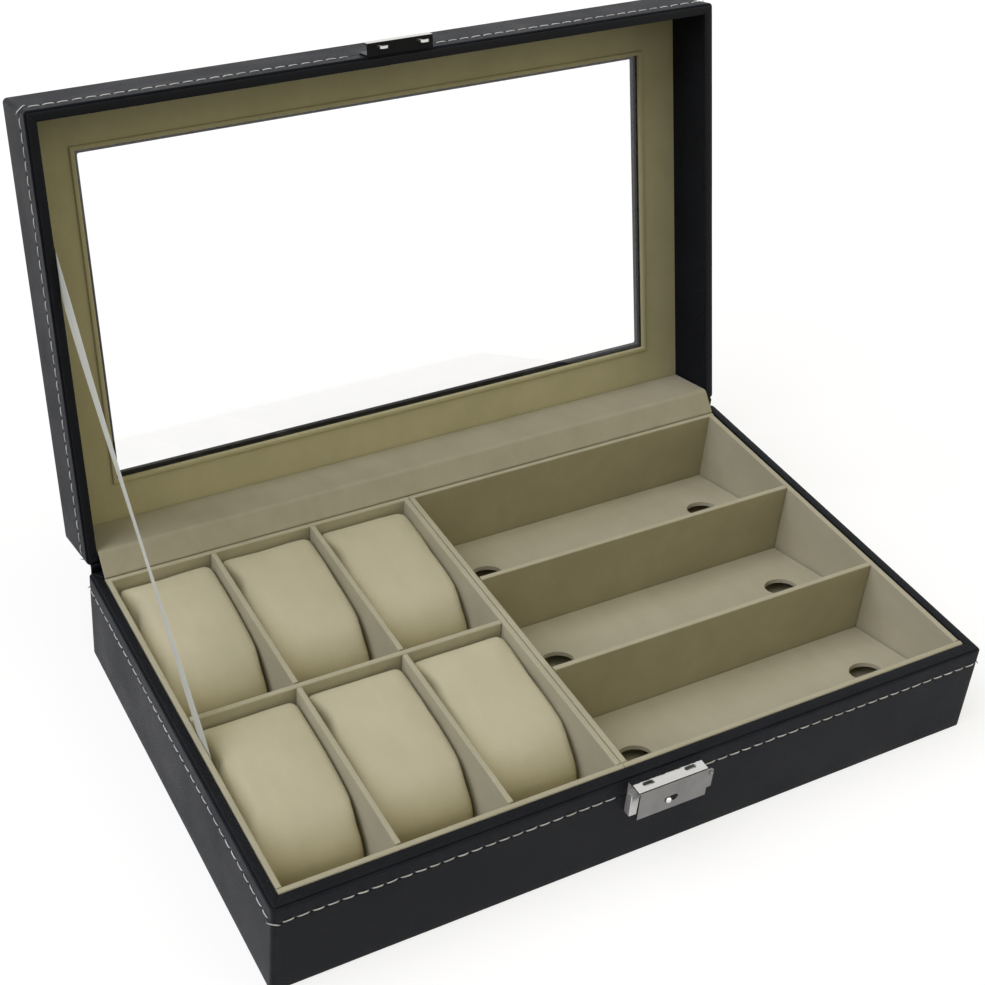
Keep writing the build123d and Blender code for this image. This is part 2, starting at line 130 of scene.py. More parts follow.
class Graph:
    """A node tree with short calls for adding and wiring nodes."""

    def __init__(self, tree: bpy.types.NodeTree) -> None:
        """Keeps the tree that the nodes go into."""
        self.tree = tree

    def add(self, kind: str, **values: object) -> bpy.types.Node:
        """Adds a node.

        Args:
            kind: The node's type after "ShaderNode", or its whole type.
            **values: Properties of the node.

        Returns:
            The new node.
        """
        node = self.tree.nodes.new(kind if kind.startswith("Node") else "ShaderNode" + kind)
        for name, value in values.items():
            setattr(node, name, value)
        return node

    def wire(self, source: Socket | float | Colour, target: Socket) -> None:
        """Links a socket to the target, or sets the target to a constant.

        Args:
            source: An output socket or a constant.
            target: The input socket.
        """
        if isinstance(source, bpy.types.NodeSocket):
            self.tree.links.new(source, target)
        elif isinstance(source, tuple) and len(target.default_value) > len(source):
            target.default_value = (*source, 1.0)
        else:
            target.default_value = source

    def show(self, shader: Socket) -> None:
        """Wires a shader to the material's surface."""
        self.wire(shader, self.tree.nodes["Material Output"].inputs["Surface"])

    def math(self, operation: str, first: Socket | float, second: Socket | float = 0.0) -> Socket:
        """Works out one or two numbers by the operation that Blender calls so."""
        node = self.add("Math", operation=operation)
        self.wire(first, node.inputs[0])
        self.wire(second, node.inputs[1])
        return node.outputs[0]

    def times(self, first: Socket | float, second: Socket | float) -> Socket:
        """Multiplies two numbers."""
        return self.math("MULTIPLY", first, second)

    def plus(self, first: Socket | float, second: Socket | float) -> Socket:
        """Adds two numbers."""
        return self.math("ADD", first, second)

    def range(
        self, value: Socket, low: float, high: float, start: float = 0.0, end: float = 1.0
    ) -> Socket:
        """Carries a value from the range low to high onto start to end, clamped."""
        node = self.add("MapRange", clamp=True)
        for number, amount in enumerate((value, low, high, start, end)):
            self.wire(amount, node.inputs[number])
        return node.outputs[0]

    def blend(
        self, share: Socket | float, first: Socket | Colour, second: Socket | Colour, way: str = "MIX"
    ) -> Socket:
        """Mixes two colours.

        Args:
            share: How much of the second colour.
            first: The first colour.
            second: The second colour.
            way: Blender's name of how the second goes over the first.

        Returns:
            The mixed colour's socket.
        """
        node = self.add("Mix", data_type="RGBA", blend_type=way)
        for number, source in ((0, share), (6, first), (7, second)):
            self.wire(source, node.inputs[number])
        return node.outputs[2]

    def apart(self, vector: Socket) -> Outputs:
        """Splits a vector into its three numbers."""
        node = self.add("SeparateXYZ")
        self.wire(vector, node.inputs[0])
        return node.outputs

    def stretched(self, place: Socket, scale: Triple) -> Socket:
        """Scales a place vector axis by axis."""
        node = self.add("Mapping", vector_type="POINT")
        self.wire(place, node.inputs["Vector"])
        self.wire(scale, node.inputs["Scale"])
        return node.outputs[0]

    def noise(self, place: Socket, scale: Socket | float, detail: float = 2.0) -> Socket:
        """Adds a noise texture that follows a vector at a scale and detail, and returns its value."""
        node = self.add("TexNoise")
        for name, source in (("Vector", place), ("Scale", scale), ("Detail", detail)):
            self.wire(source, node.inputs[name])
        return node.outputs[0]

    def use(self, group: bpy.types.NodeTree, **inputs: Socket | float) -> Outputs:
        """Places a node group with its inputs by name, and returns its outputs."""
        node = self.add("Group", node_tree=group)
        for name, value in inputs.items():
            self.wire(value, node.inputs[name])
        return node.outputs


def effect(name: str, inputs: tuple[str, ...], outputs: tuple[str, ...]) -> tuple[Graph, dict, dict]:
    """Starts a shader node group, with a vector input named Place and float sockets.

    Args:
        name: The group's name.
        inputs: Names of its float inputs.
        outputs: Names of its float outputs.

    Returns:
        The group's graph, its input sockets by name, and its output sockets by name.
    """
    tree = bpy.data.node_groups.new(name, "ShaderNodeTree")
    tree.interface.new_socket("Place", in_out="INPUT", socket_type="NodeSocketVector")
    for label in inputs:
        tree.interface.new_socket(label, in_out="INPUT", socket_type="NodeSocketFloat")
    for label in outputs:
        tree.interface.new_socket(label, in_out="OUTPUT", socket_type="NodeSocketFloat")
    graph = Graph(tree)
    source = graph.add("NodeGroupInput")
    target = graph.add("NodeGroupOutput")
    named_inputs = {label: source.outputs[label] for label in ("Place", *inputs)}
    named_outputs = {label: target.inputs[label] for label in outputs}
    return graph, named_inputs, named_outputs


def pebbled_grain() -> bpy.types.NodeTree:
    """Small rounded pebbles with fine creases between them, and slow changes of tone.

    Returns:
        The group, with outputs Height and Tone.
    """
    crease, fine_scale, fine_share, tone_scale = 0.32, 2.6, 0.35, 0.035
    graph, given, result = effect("pebbled_grain", ("Size", "Unevenness"), ("Height", "Tone"))
    place = given["Place"]
    per_metre = graph.math("DIVIDE", 1.0, given["Size"])
    drift = graph.add("TexNoise")
    graph.wire(place, drift.inputs["Vector"])
    graph.wire(graph.times(per_metre, 0.5), drift.inputs["Scale"])
    reach = graph.add("CombineXYZ")
    for axis in range(3):
        graph.wire(graph.times(given["Size"], given["Unevenness"]), reach.inputs[axis])
    warp = graph.add("VectorMath", operation="MULTIPLY_ADD")
    for number, source in enumerate((drift.outputs["Color"], reach.outputs[0], place)):
        graph.wire(source, warp.inputs[number])
    cells = graph.add("TexVoronoi", feature="DISTANCE_TO_EDGE")
    graph.wire(warp.outputs[0], cells.inputs["Vector"])
    graph.wire(per_metre, cells.inputs["Scale"])
    pebble = graph.range(cells.outputs["Distance"], 0.0, crease)
    fine = graph.noise(place, graph.times(per_metre, fine_scale), 3.0)
    graph.wire(graph.plus(pebble, graph.times(fine, fine_share)), result["Height"])
    graph.wire(graph.noise(place, graph.times(per_metre, tone_scale), 4.0), result["Tone"])
    return graph.tree


def velvet_nap() -> bpy.types.NodeTree:
    """Short pile: fine fibres, soft brush marks and cloudy mottling.

    Returns:
        The group, with outputs Height and Tone.
    """
    graph, given, result = effect("velvet_nap", ("Fibre", "Mottle"), ("Height", "Tone"))
    fibres = graph.noise(given["Place"], graph.math("DIVIDE", 1.0, given["Fibre"]), 2.0)
    brushed = graph.noise(graph.stretched(given["Place"], (1.0, 0.28, 0.6)), 150.0, 3.0)
    clouds = graph.noise(given["Place"], graph.math("DIVIDE", 1.0, given["Mottle"]), 3.0)
    tone = graph.plus(graph.times(clouds, 0.5), graph.times(brushed, 0.3))
    graph.wire(graph.plus(tone, graph.times(fibres, 0.2)), result["Tone"])
    graph.wire(graph.plus(fibres, graph.times(brushed, 0.5)), result["Height"])
    return graph.tree


def edge_wear() -> bpy.types.NodeTree:
    """Rubbed edges: the share of wear where the piece's edge value is high, broken up by noise.

    Returns:
        The group, with output Mask.
    """
    graph, given, result = effect("edge_wear", ("Edge", "Amount"), ("Mask",))
    patches = graph.range(graph.noise(given["Place"], 90.0, 5.0), 0.38, 0.68)
    rubbed = graph.times(given["Edge"], patches)
    graph.wire(graph.times(rubbed, given["Amount"]), result["Mask"])
    return graph.tree


def satin_weave() -> bpy.types.NodeTree:
    """Fine threads across a ribbon, read along its own UV map in metres.

    Returns:
        The group, with outputs Height and Tone.
    """
    graph, given, result = effect("satin_weave", ("Thread",), ("Height", "Tone"))
    along, across, _ = graph.apart(given["Place"])
    turns = graph.math("DIVIDE", 2 * math.pi, given["Thread"])
    ribs = graph.math("SINE", graph.times(along, turns))
    picks = graph.math("SINE", graph.times(across, graph.times(turns, 0.7)))
    graph.wire(graph.plus(graph.times(ribs, 0.6), graph.times(picks, 0.3)), result["Height"])
    streaks = graph.noise(graph.stretched(given["Place"], (60.0, 2400.0, 1.0)), 1.0, 3.0)
    graph.wire(streaks, result["Tone"])
    return graph.tree


def fine_scratches() -> bpy.types.NodeTree:
    """Hairlines and faint smudges on plated metal.

    Returns:
        The group, with outputs Height and Smudge.
    """
    graph, given, result = effect("fine_scratches", ("Density",), ("Height", "Smudge"))
    hairs = graph.noise(graph.stretched(given["Place"], (0.05, 1.0, 1.0)), given["Density"], 3.0)
    graph.wire(hairs, result["Height"])
    smudge = graph.noise(given["Place"], graph.times(given["Density"], 0.05), 4.0)
    graph.wire(graph.range(smudge, 0.35, 0.7), result["Smudge"])
    return graph.tree


@dataclass
class Effects:
    """The node groups that several materials share, each built once."""

    grain: bpy.types.NodeTree = field(default_factory=pebbled_grain)
    nap: bpy.types.NodeTree = field(default_factory=velvet_nap)
    wear: bpy.types.NodeTree = field(default_factory=edge_wear)
    weave: bpy.types.NodeTree = field(default_factory=satin_weave)
    scratches: bpy.types.NodeTree = field(default_factory=fine_scratches)


# Finishes


class Paint(Graph):
    """A new material's graph, with its Principled node and the place that its pattern follows."""

    def __init__(self, name: str, place: Place = Place.OBJECT) -> None:
        """Starts the material.

        Args:
            name: The material's name.
            place: Where its pattern is read from.
        """
        self.material = bpy.data.materials.new(name)
        self.material.use_nodes = True
        super().__init__(self.material.node_tree)
        self.shader = self.tree.nodes["Principled BSDF"]
        self.place = self.add("TexCoord").outputs[place.value]

    def pattern(self, group: bpy.types.NodeTree, **inputs: Socket | float) -> Outputs:
        """Places a node group that follows the pattern's place, with its other inputs by name."""
        return self.use(group, Place=self.place, **inputs)

    def feed(self, **sources: Socket | float | Colour) -> None:
        """Wires or sets the shader's sockets, which are named with underscores for spaces."""
        for name, source in sources.items():
            self.wire(source, self.shader.inputs[name.replace("_", " ")])

    def raised(self, height: Socket, depth: float) -> bpy.types.Material:
        """Feeds a height into the shader's normal.

        Args:
            height: The height, from 0 to 1.
            depth: The height's real depth in metres.

        Returns:
            The finished material.
        """
        bump = self.add("Bump")
        bump.inputs["Strength"].default_value = 1.0
        bump.inputs["Distance"].default_value = depth
        self.wire(height, bump.inputs["Height"])
        self.feed(Normal=bump.outputs[0])
        return self.material


@dataclass(frozen=True)
class LeatherFinish:
    """Grained black leather with slightly rubbed edges."""

    name: str
    deep: Colour = (0.0036, 0.0046, 0.0074)
    light: Colour = (0.0068, 0.0080, 0.0120)
    rubbed: Colour = (0.024, 0.026, 0.031)
    grain_size: float = 0.0009
    grain_depth: float = 0.00009
    unevenness: float = 0.6
    wear: float = 0.55
    roughness: float = 0.45
    shine: float = 0.088

    def material(self, effects: Effects) -> bpy.types.Material:
        """Builds the material: grain, cloudy tone and worn edges."""
        paint = Paint(self.name)
        grain = paint.pattern(effects.grain, Size=self.grain_size, Unevenness=self.unevenness)
        edge = paint.add("Attribute", attribute_name="edge").outputs["Fac"]
        wear = paint.pattern(effects.wear, Edge=edge, Amount=self.wear)
        hide = paint.blend(paint.range(grain["Tone"], 0.35, 0.65), self.deep, self.light)
        paint.feed(
            Base_Color=paint.blend(wear["Mask"], hide, self.rubbed),
            Roughness=paint.range(grain["Tone"], 0.3, 0.7, self.roughness - 0.05, self.roughness + 0.07),
            Specular_IOR_Level=self.shine)
        return paint.raised(grain["Height"], self.grain_depth)


@dataclass(frozen=True)
class VelvetFinish:
    """Short beige pile, which may carry painted shade: a darker tint over the pile below a height in
    millimetres.
    """

    name: str
    dark: Colour
    pale: Colour
    mottle: float = 0.022
    fibre: float = 0.00035
    sheen: float = 0.25
    depth: float = 0.00010
    painted_shade_tint: Colour = (1.0, 1.0, 1.0)
    painted_shade_full: float = -2.0
    painted_shade_none: float = -1.0

    def material(self, effects: Effects) -> bpy.types.Material:
        """Builds the material: nap in colour and height, a painted shade tint low down, and a soft sheen.
        """
        paint = Paint(self.name)
        nap = paint.pattern(effects.nap, Fibre=self.fibre, Mottle=self.mottle)
        pile = paint.blend(paint.range(nap["Tone"], 0.38, 0.62), self.dark, self.pale)
        height = paint.apart(paint.place)[2]
        # Painted shade: below the given heights the pile is multiplied by the shade tint.
        low = paint.range(height, self.painted_shade_full * MM, self.painted_shade_none * MM, 1.0, 0.0)
        paint.feed(
            Base_Color=paint.blend(low, pile, self.painted_shade_tint, "MULTIPLY"), Roughness=0.92,
            Specular_IOR_Level=0.12, Sheen_Weight=self.sheen, Sheen_Roughness=0.45, Sheen_Tint=self.pale)
        return paint.raised(nap["Height"], self.depth)


@dataclass(frozen=True)
class SatinFinish:
    """Woven ribbon with a soft lengthwise gloss."""

    name: str
    dark: Colour = (0.55, 0.560, 0.48)
    pale: Colour = (0.73, 0.750, 0.66)
    thread: float = 0.00035
    depth: float = 0.00004

    def material(self, effects: Effects) -> bpy.types.Material:
        """Builds the material on the ribbon's own UV map."""
        paint = Paint(self.name, Place.UV)
        weave = paint.pattern(effects.weave, Thread=self.thread)
        tone = paint.range(weave["Tone"], 0.35, 0.65)
        paint.feed(
            Base_Color=paint.blend(tone, self.dark, self.pale), Roughness=0.42, Specular_IOR_Level=0.5,
            Sheen_Weight=0.2)
        return paint.raised(weave["Height"], self.depth)


@dataclass(frozen=True)
class ThreadFinish:
    """Twisted stitching thread."""

    name: str
    dark: Colour = (0.62, 0.62, 0.61)
    pale: Colour = (0.93, 0.93, 0.92)
    ply: float = 0.0007
    depth: float = 0.00008

    def material(self, effects: Effects) -> bpy.types.Material:
        """Builds the material: slanting plies on the stitch's UV map, and soil over the whole row."""
        paint = Paint(self.name, Place.UV)
        weave = paint.pattern(effects.weave, Thread=self.ply)
        soil = paint.noise(paint.add("TexCoord").outputs[Place.OBJECT.value], 120.0, 3.0)
        tone = paint.range(soil, 0.35, 0.6)
        paint.feed(
            Base_Color=paint.blend(tone, self.dark, self.pale), Roughness=0.75, Specular_IOR_Level=0.3)
        return paint.raised(weave["Height"], self.depth)


@dataclass(frozen=True)
class MetalFinish:
    """Nickel-plated sheet, polished or brushed satin."""

    name: str
    tint: Colour
    smudged: Colour
    roughness: float
    hair_depth: float = 0.000004

    def material(self, effects: Effects) -> bpy.types.Material:
        """Builds the material: hairlines, smudges and plain metallic gloss."""
        paint = Paint(self.name)
        marks = paint.pattern(effects.scratches, Density=HAIR_DENSITY)
        paint.feed(
            Base_Color=paint.blend(marks["Smudge"], self.tint, self.smudged), Metallic=1.0,
            Roughness=paint.range(marks["Smudge"], 0.0, 1.0, self.roughness, self.roughness + 0.08))
        return paint.raised(marks["Height"], self.hair_depth)


@dataclass(frozen=True)
class PaintedReflectionMetal:
    """Plated sheet, bright past given planes, with painted reflection: a darker stand-in tone elsewhere."""

    name: str
    directions: list
    starts: list
    dark: Colour
    bright: Colour
    painted_part_metallic: float = 1.0
    roughness: float = 0.24
    shine: float = 0.5
    hair_depth: float = 0.000005
    fade: float = 0.05

    def material(self, effects: Effects) -> bpy.types.Material:
        """Builds the material: the place along each direction picks the bright plating or the painted dark
        reflection tone.
        """
        paint = Paint(self.name)
        marks = paint.pattern(effects.scratches, Density=HAIR_DENSITY)
        bright = 0.0
        for direction, start in zip(self.directions, self.starts):
            along = paint.add("VectorMath", operation="DOT_PRODUCT")
            paint.wire(paint.place, along.inputs[0])
            paint.wire(direction, along.inputs[1])
            past = paint.range(along.outputs["Value"], (start - self.fade) * MM, (start + self.fade) * MM)
            bright = paint.math("MAXIMUM", past, bright)
        paint.feed(
            Base_Color=paint.blend(bright, self.dark, self.bright),
            Roughness=paint.range(marks["Smudge"], 0.0, 1.0, self.roughness, self.roughness + 0.1),
            Metallic=paint.range(bright, 0.0, 1.0, self.painted_part_metallic, 1.0), Specular_IOR_Level=self.shine)
        return paint.raised(marks["Height"], self.hair_depth)


@dataclass(frozen=True)
class BoardFinish:
    """Fibreboard or card, seen only at cut edges."""

    name: str
    dark: Colour = (0.12, 0.085, 0.055)
    pale: Colour = (0.20, 0.145, 0.095)
    fibre: float = 0.0006
    mottle: float = 0.006
    depth: float = 0.00012

    def material(self, effects: Effects) -> bpy.types.Material:
        """Builds the material: matted fibres with layers."""
        paint = Paint(self.name)
        nap = paint.pattern(effects.nap, Fibre=self.fibre, Mottle=self.mottle)
        paint.feed(
            Base_Color=paint.blend(nap["Tone"], self.dark, self.pale), Roughness=0.85,
            Specular_IOR_Level=0.2)
        return paint.raised(nap["Height"], self.depth)


@dataclass(frozen=True)
class GlassFinish:
    """Clear float glass with a faint film of dust."""

    name: str
    dust_density: float = 300.0
    dust: float = 0.02

    def material(self, effects: Effects) -> bpy.types.Material:
        """Builds the material: clear transmission, open to shadow and diffuse rays."""
        paint = Paint(self.name)
        dust = paint.pattern(effects.scratches, Density=self.dust_density)
        paint.feed(
            Base_Color=(1.0, 1.0, 1.0), Metallic=0.0, Transmission_Weight=1.0, IOR=1.45,
            Specular_IOR_Level=0.3, Roughness=paint.range(dust["Smudge"], 0.0, 1.0, 0.0, self.dust))
        path = paint.add("LightPath").outputs
        passing = paint.math("MAXIMUM", path["Is Shadow Ray"], path["Is Diffuse Ray"])
        mix = paint.add("MixShader")
        clear = paint.add("BsdfTransparent").outputs[0]
        for number, source in enumerate((passing, paint.shader.outputs[0], clear)):
            paint.wire(source, mix.inputs[number])
        paint.show(mix.outputs[0])
        return paint.material


# Surfaces


def mesh_object(
    name: str, points: Array, faces: list, uv: Array | None = None, edge: Array | None = None,
    sharp: float = 38.0
) -> bpy.types.Object:
    """Makes an object at the origin from points in millimetres, with its faces turned outwards.

    Args:
        name: The piece's name.
        points: One row of X, Y and Z for each point.
        faces: The points of each face.
        uv: The pattern's place at each point, in metres.
        edge: How rubbed each point is, from 0 to 1.
        sharp: The turn in degrees past which an edge stays crisp.

    Returns:
        The new object.
    """
    mesh = bpy.data.meshes.new(name)
    mesh.from_pydata((points * MM).tolist(), [], faces)
    if edge is not None:
        mesh.attributes.new("edge", "FLOAT", "POINT").data.foreach_set("value", edge.astype(np.float32))
    if uv is not None:
        corners = np.zeros(len(mesh.loops), np.int32)
        mesh.loops.foreach_get("vertex_index", corners)
        mesh.uv_layers.new(name="pattern").data.foreach_set("uv", uv[corners].astype(np.float32).ravel())
    turned = bmesh.new()
    turned.from_mesh(mesh)
    bmesh.ops.recalc_face_normals(turned, faces=turned.faces)
    turned.to_mesh(mesh)
    turned.free()
    mesh.shade_smooth()
    mesh.set_sharp_from_angle(angle=math.radians(sharp))
    return linked(name, mesh)


def linked(name: str, data: bpy.types.ID) -> bpy.types.Object:
    """Puts a new object with the given data into the scene."""
    made = bpy.data.objects.new(name, data)
    bpy.context.scene.collection.objects.link(made)
    return made


def grid_faces(rows: int, columns: int, wrap_rows: bool, caps: bool = False) -> list:
    """Faces of a grid of points whose rows are loops.

    Each face joins a point, the next in its row, and the two in the next row.

    Args:
        rows: How many rows.
        columns: How many points in each row.
        wrap_rows: Whether the last row joins the first.
        caps: Whether the first and the last row are closed with a face.

    Returns:
        The faces as lists of point numbers.
    """
    row = np.arange(rows if wrap_rows else rows - 1)[:, None]
    column = np.arange(columns)[None, :]
    here = row * columns
    next_row = (row + 1) % rows * columns
    next_column = (column + 1) % columns
    corners = [here + column, here + next_column, next_row + next_column, next_row + column]
    faces = np.stack(corners, axis=-1).reshape(-1, 4).tolist()
    if caps:
        faces.append(list(range(columns))[::-1])
        faces.append(list(range((rows - 1) * columns, rows * columns)))
    return faces


def rounded_loop(half_x: float, half_y: float, radius: float, long_runs: Array, short_runs: Array) -> Array:
    """A rectangle with rounded corners, as one closed loop that starts on the front side.

    Each side is the straight line between its two corner arcs, at the given shares from -1 to 1.
    Each arc is its centre plus the radius times the cosine and sine of a quarter turn.

    Args:
        half_x: Half its length along X.
        half_y: Half its length along Y.
        radius: The corner radius.
        long_runs: Shares along the sides parallel to X.
        short_runs: Shares along the sides parallel to Y.

    Returns:
        One row of X and Y for each point.
    """
    reach_x = half_x - radius
    reach_y = half_y - radius
    quarter = np.linspace(0.0, math.pi / 2, ARC_POINTS)
    parts = []
    for turn in range(4):
        start = turn * math.pi / 2 - math.pi / 2
        runs = long_runs if turn % 2 == 0 else short_runs
        reach, away = (reach_x, half_y) if turn % 2 == 0 else (reach_y, half_x)
        along = np.array([-math.sin(start), math.cos(start)])
        out = np.array([math.cos(start), math.sin(start)])
        parts.append(runs[:, None] * reach * along + away * out)
        centre = np.array([reach_x, reach_y]) * np.sign(along + out)
        angles = start + quarter
        parts.append(centre + radius * np.stack([np.cos(angles), np.sin(angles)], axis=-1))
    return np.concatenate(parts)


def quarter_bend(radius: float, steps: int = 5) -> tuple[Array, Array]:
    """Depth and drop of a rounded edge, from the face (0, radius) to the top (radius, 0).

    Args:
        radius: The edge's radius.
        steps: How many points.

    Returns:
        Radius times one minus the cosine, and radius times one minus the sine, of a quarter turn.
    """
    angle = np.linspace(0.0, math.pi / 2, steps)
    return radius * (1 - np.cos(angle)), radius * (1 - np.sin(angle))


def ripple(around: Array, across: Array, amount: float, seed: int) -> Array:
    """Gentle unevenness: a sum of sines, each a whole number of waves round the loop.

    Args:
        around: Place round the loop, from 0 to 1.
        across: Place across the strip, from 0 to 1.
        amount: The largest height.
        seed: The seed of the phases.

    Returns:
        The height at each point, on the grid that around and across span together.
    """
    rng = np.random.default_rng(seed)
    waves = np.array([5, 9, 14, 23, 31])
    phases = rng.uniform(0, 2 * math.pi, (2, len(waves)))
    turn = 2 * math.pi * waves * around[..., None] + phases[0]
    lean = 2.2 * across[..., None] + phases[1]
    return amount * np.sum(np.sin(turn) * np.cos(lean), axis=-1) / len(waves)


def step_up(value: Array, low: float, high: float) -> Array:
    """Rises smoothly from 0 at low to 1 at high.

    Args:
        value: The value.
        low: Where the rise starts.
        high: Where it ends.

    Returns:
        Three times the square less two times the cube of the clamped share.
    """
    share = np.clip((value - low) / (high - low), 0.0, 1.0)
    return share * share * (3 - 2 * share)


def bell(value: Array, middle: float, width: float) -> Array:
    """A bell curve of height 1: e to the minus square of the distance over the width."""
    return np.exp(-((value - middle) / width) ** 2)


def run_along(line: Array) -> Array:
    """The distance along a line at each of its points."""
    return np.concatenate([[0.0], np.cumsum(np.linalg.norm(np.diff(line, axis=0), axis=1))])


def points_at(line: Array, run: Array, places: Array) -> Array:
    """The points of a line at given distances along it, where run is the distance at its own points."""
    return np.stack([np.interp(places, run, line[:, axis]) for axis in range(line.shape[1])], axis=-1)


def smooth_path(corners: Array, radius: float, spacing: float) -> Array:
    """A bent line whose corners are rounded curves, as evenly spaced points.

    Args:
        corners: The line's corners, one row each.
        radius: The bend radius.
        spacing: The distance between points.

    Returns:
        One row of two coordinates for each point.
    """
    parts = [corners[:1]]
    for before, corner, after in zip(corners, corners[1:], corners[2:]):
        into = (corner - before) / np.linalg.norm(corner - before)
        away = (after - corner) / np.linalg.norm(after - corner)
        turn = math.acos(float(np.clip(into @ away, -1.0, 1.0)))
        tangent = radius * math.tan(turn / 2)
        share = np.linspace(0.0, 1.0, ARC_POINTS)[:, None]
        start = corner - into * tangent
        end = corner + away * tangent
        parts.append((1 - share) ** 2 * start + 2 * share * (1 - share) * corner + share ** 2 * end)
    parts.append(corners[-1:])
    line = np.concatenate(parts)
    run = run_along(line)
    return points_at(line, run, np.linspace(0.0, run[-1], max(2, int(run[-1] / spacing))))


def offset_loop(path: Array, thickness: float, edge_radius: float) -> Array:
    """The closed outline of a bent sheet: its path and its parallel, with rounded ends.

    Args:
        path: The middle of the sheet, one row of two coordinates for each point.
        thickness: The sheet's thickness.
        edge_radius: How far the ends are rounded over.

    Returns:
        One row of two coordinates for each outline point.
    """
    step = np.gradient(path, axis=0)
    step /= np.linalg.norm(step, axis=1)[:, None]
    normal = np.stack([-step[:, 1], step[:, 0]], axis=-1)
    reach = run_along(path)
    from_end = np.minimum(reach, reach[-1] - reach)
    swell = np.sqrt(np.clip(from_end / edge_radius, 0.08, 1.0))[:, None]
    half = normal * thickness / 2 * swell
    return np.concatenate([path + half, (path - half)[::-1]])


@dataclass(frozen=True)
class Hinge:
    """The lid's hinge line, read from the frame."""

    pivot_y: float
    pivot_z: float
    angle: float

    @classmethod
    def from_frame(cls, frame: dict) -> "Hinge":
        """Reads the hinge joint, whose range runs from closed to open."""
        joint = next(j for j in frame["joints"] if j["name"] == "lid_hinge")
        _, pivot_y, pivot_z = (value / MM for value in joint["pos_m"])
        return cls(pivot_y, pivot_z, math.radians(-joint["range_deg"][0]))

    def open(self, points: Array) -> Array:
        """Turns points of the closed lid to the open lid.

        Args:
            points: Rows of X, Y and Z, or of Y and Z.

        Returns:
            The turned points.
        """
        turned = np.array(points, float)
        y = points[..., -2] - self.pivot_y
        z = points[..., -1] - self.pivot_z
        turned[..., -2] = self.pivot_y + math.cos(self.angle) * y + math.sin(self.angle) * z
        turned[..., -1] = self.pivot_z - math.sin(self.angle) * y + math.cos(self.angle) * z
        return turned


def grid_object(
    name: str, grid: Array, edge: Array | float | None = None, hinge: Hinge | None = None,
    ring: bool = True, **shape: object
) -> bpy.types.Object:
    """Makes a piece from a grid of points: a closed ring, or a tube with closed ends.

    Args:
        name: The piece's name.
        grid: Rows of loops of points for the closed box.
        edge: How rubbed the points are.
        hinge: The hinge, for a piece that opens with the lid.
        ring: Whether the last row joins the first; the ends are capped otherwise.
        **shape: What else mesh_object takes.

    Returns:
        The new object.
    """
    faces = grid_faces(*grid.shape[:2], ring, caps=not ring)
    points = grid.reshape(-1, 3)
    points = hinge.open(points) if hinge else points
    edge = None if edge is None else np.broadcast_to(edge, grid.shape[:2]).ravel()
    return mesh_object(name, points, faces, edge=edge, **shape)


@dataclass(frozen=True)
class Carcass:
    """Outline sizes that the base and the lid share, in millimetres."""

    half_x: float
    half_y: float
    base_top: float
    lid_low: float
    lid_high: float
    corner: float = 2.0
    leather: float = 1.0
    flap: float = 12.0
    flap_inset: float = 1.2
    stitch_inset: float = 8.2
    top_stitch_inset: float = 6.6
    latch_half: float = 18.4
    side_rim: float = 5.0
    front_rim: float = 6.0
    lid_rim: float = 5.0

    @classmethod
    def from_frame(cls, seam: float = 0.5, lid_height: float = 33.0) -> "Carcass":
        """Measures the leather's outline and the rim's height in the frame."""
        _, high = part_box("base_leather")
        _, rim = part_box("base_rim_trim")
        top = rim.z / MM
        return cls(high.x / MM, high.y / MM, top, top + seam, top + seam + lid_height)

    @property
    def flap_half(self) -> float:
        """Half the width of the hinge leather's place."""
        return self.half_x - self.flap_inset

    def outline(self, inset_x: float, inset_y: float, radius: float) -> Array:
        """The box's outline moved in, with extra points where the hinge leather ends.

        Args:
            inset_x: How far its left and right sides move in.
            inset_y: How far its front and rear sides move in.
            radius: Its corner radius.

        Returns:
            One row of X and Y for each point.
        """
        end = 0.985
        marks = (self.flap_half + np.array([-0.5, -0.1, 0.3, 0.7])) / (self.half_x - self.corner)
        marks = marks[marks < end]
        long_runs = np.unique(np.concatenate([np.linspace(-end, end, 84), marks, -marks]))
        short_runs = np.linspace(-0.98, 0.98, 51)
        return rounded_loop(self.half_x - inset_x, self.half_y - inset_y, radius, long_runs, short_runs)


def band_grid(outer: Array, inner: Array, share: Array, height: Array) -> Array:
    """A grid of points round the box between two outlines.

    Each point is the outer one plus its share of the step to the inner one, at its height.

    Args:
        outer: The outer outline.
        inner: The inner outline.
        share: The shares, for each point or for each place in the section.
        height: The heights, likewise.

    Returns:
        Rows of loops of X, Y and Z.
    """
    share, height = np.broadcast_arrays(share, height)
    flat = outer[:, None, :] + (inner - outer)[:, None, :] * share[..., None]
    return np.concatenate([flat, height[..., None]], axis=-1)


def around_share(outline: Array) -> Array:
    """How far round its outline each point is, from 0 to 1, as a column."""
    return np.arange(len(outline))[:, None] / len(outline)


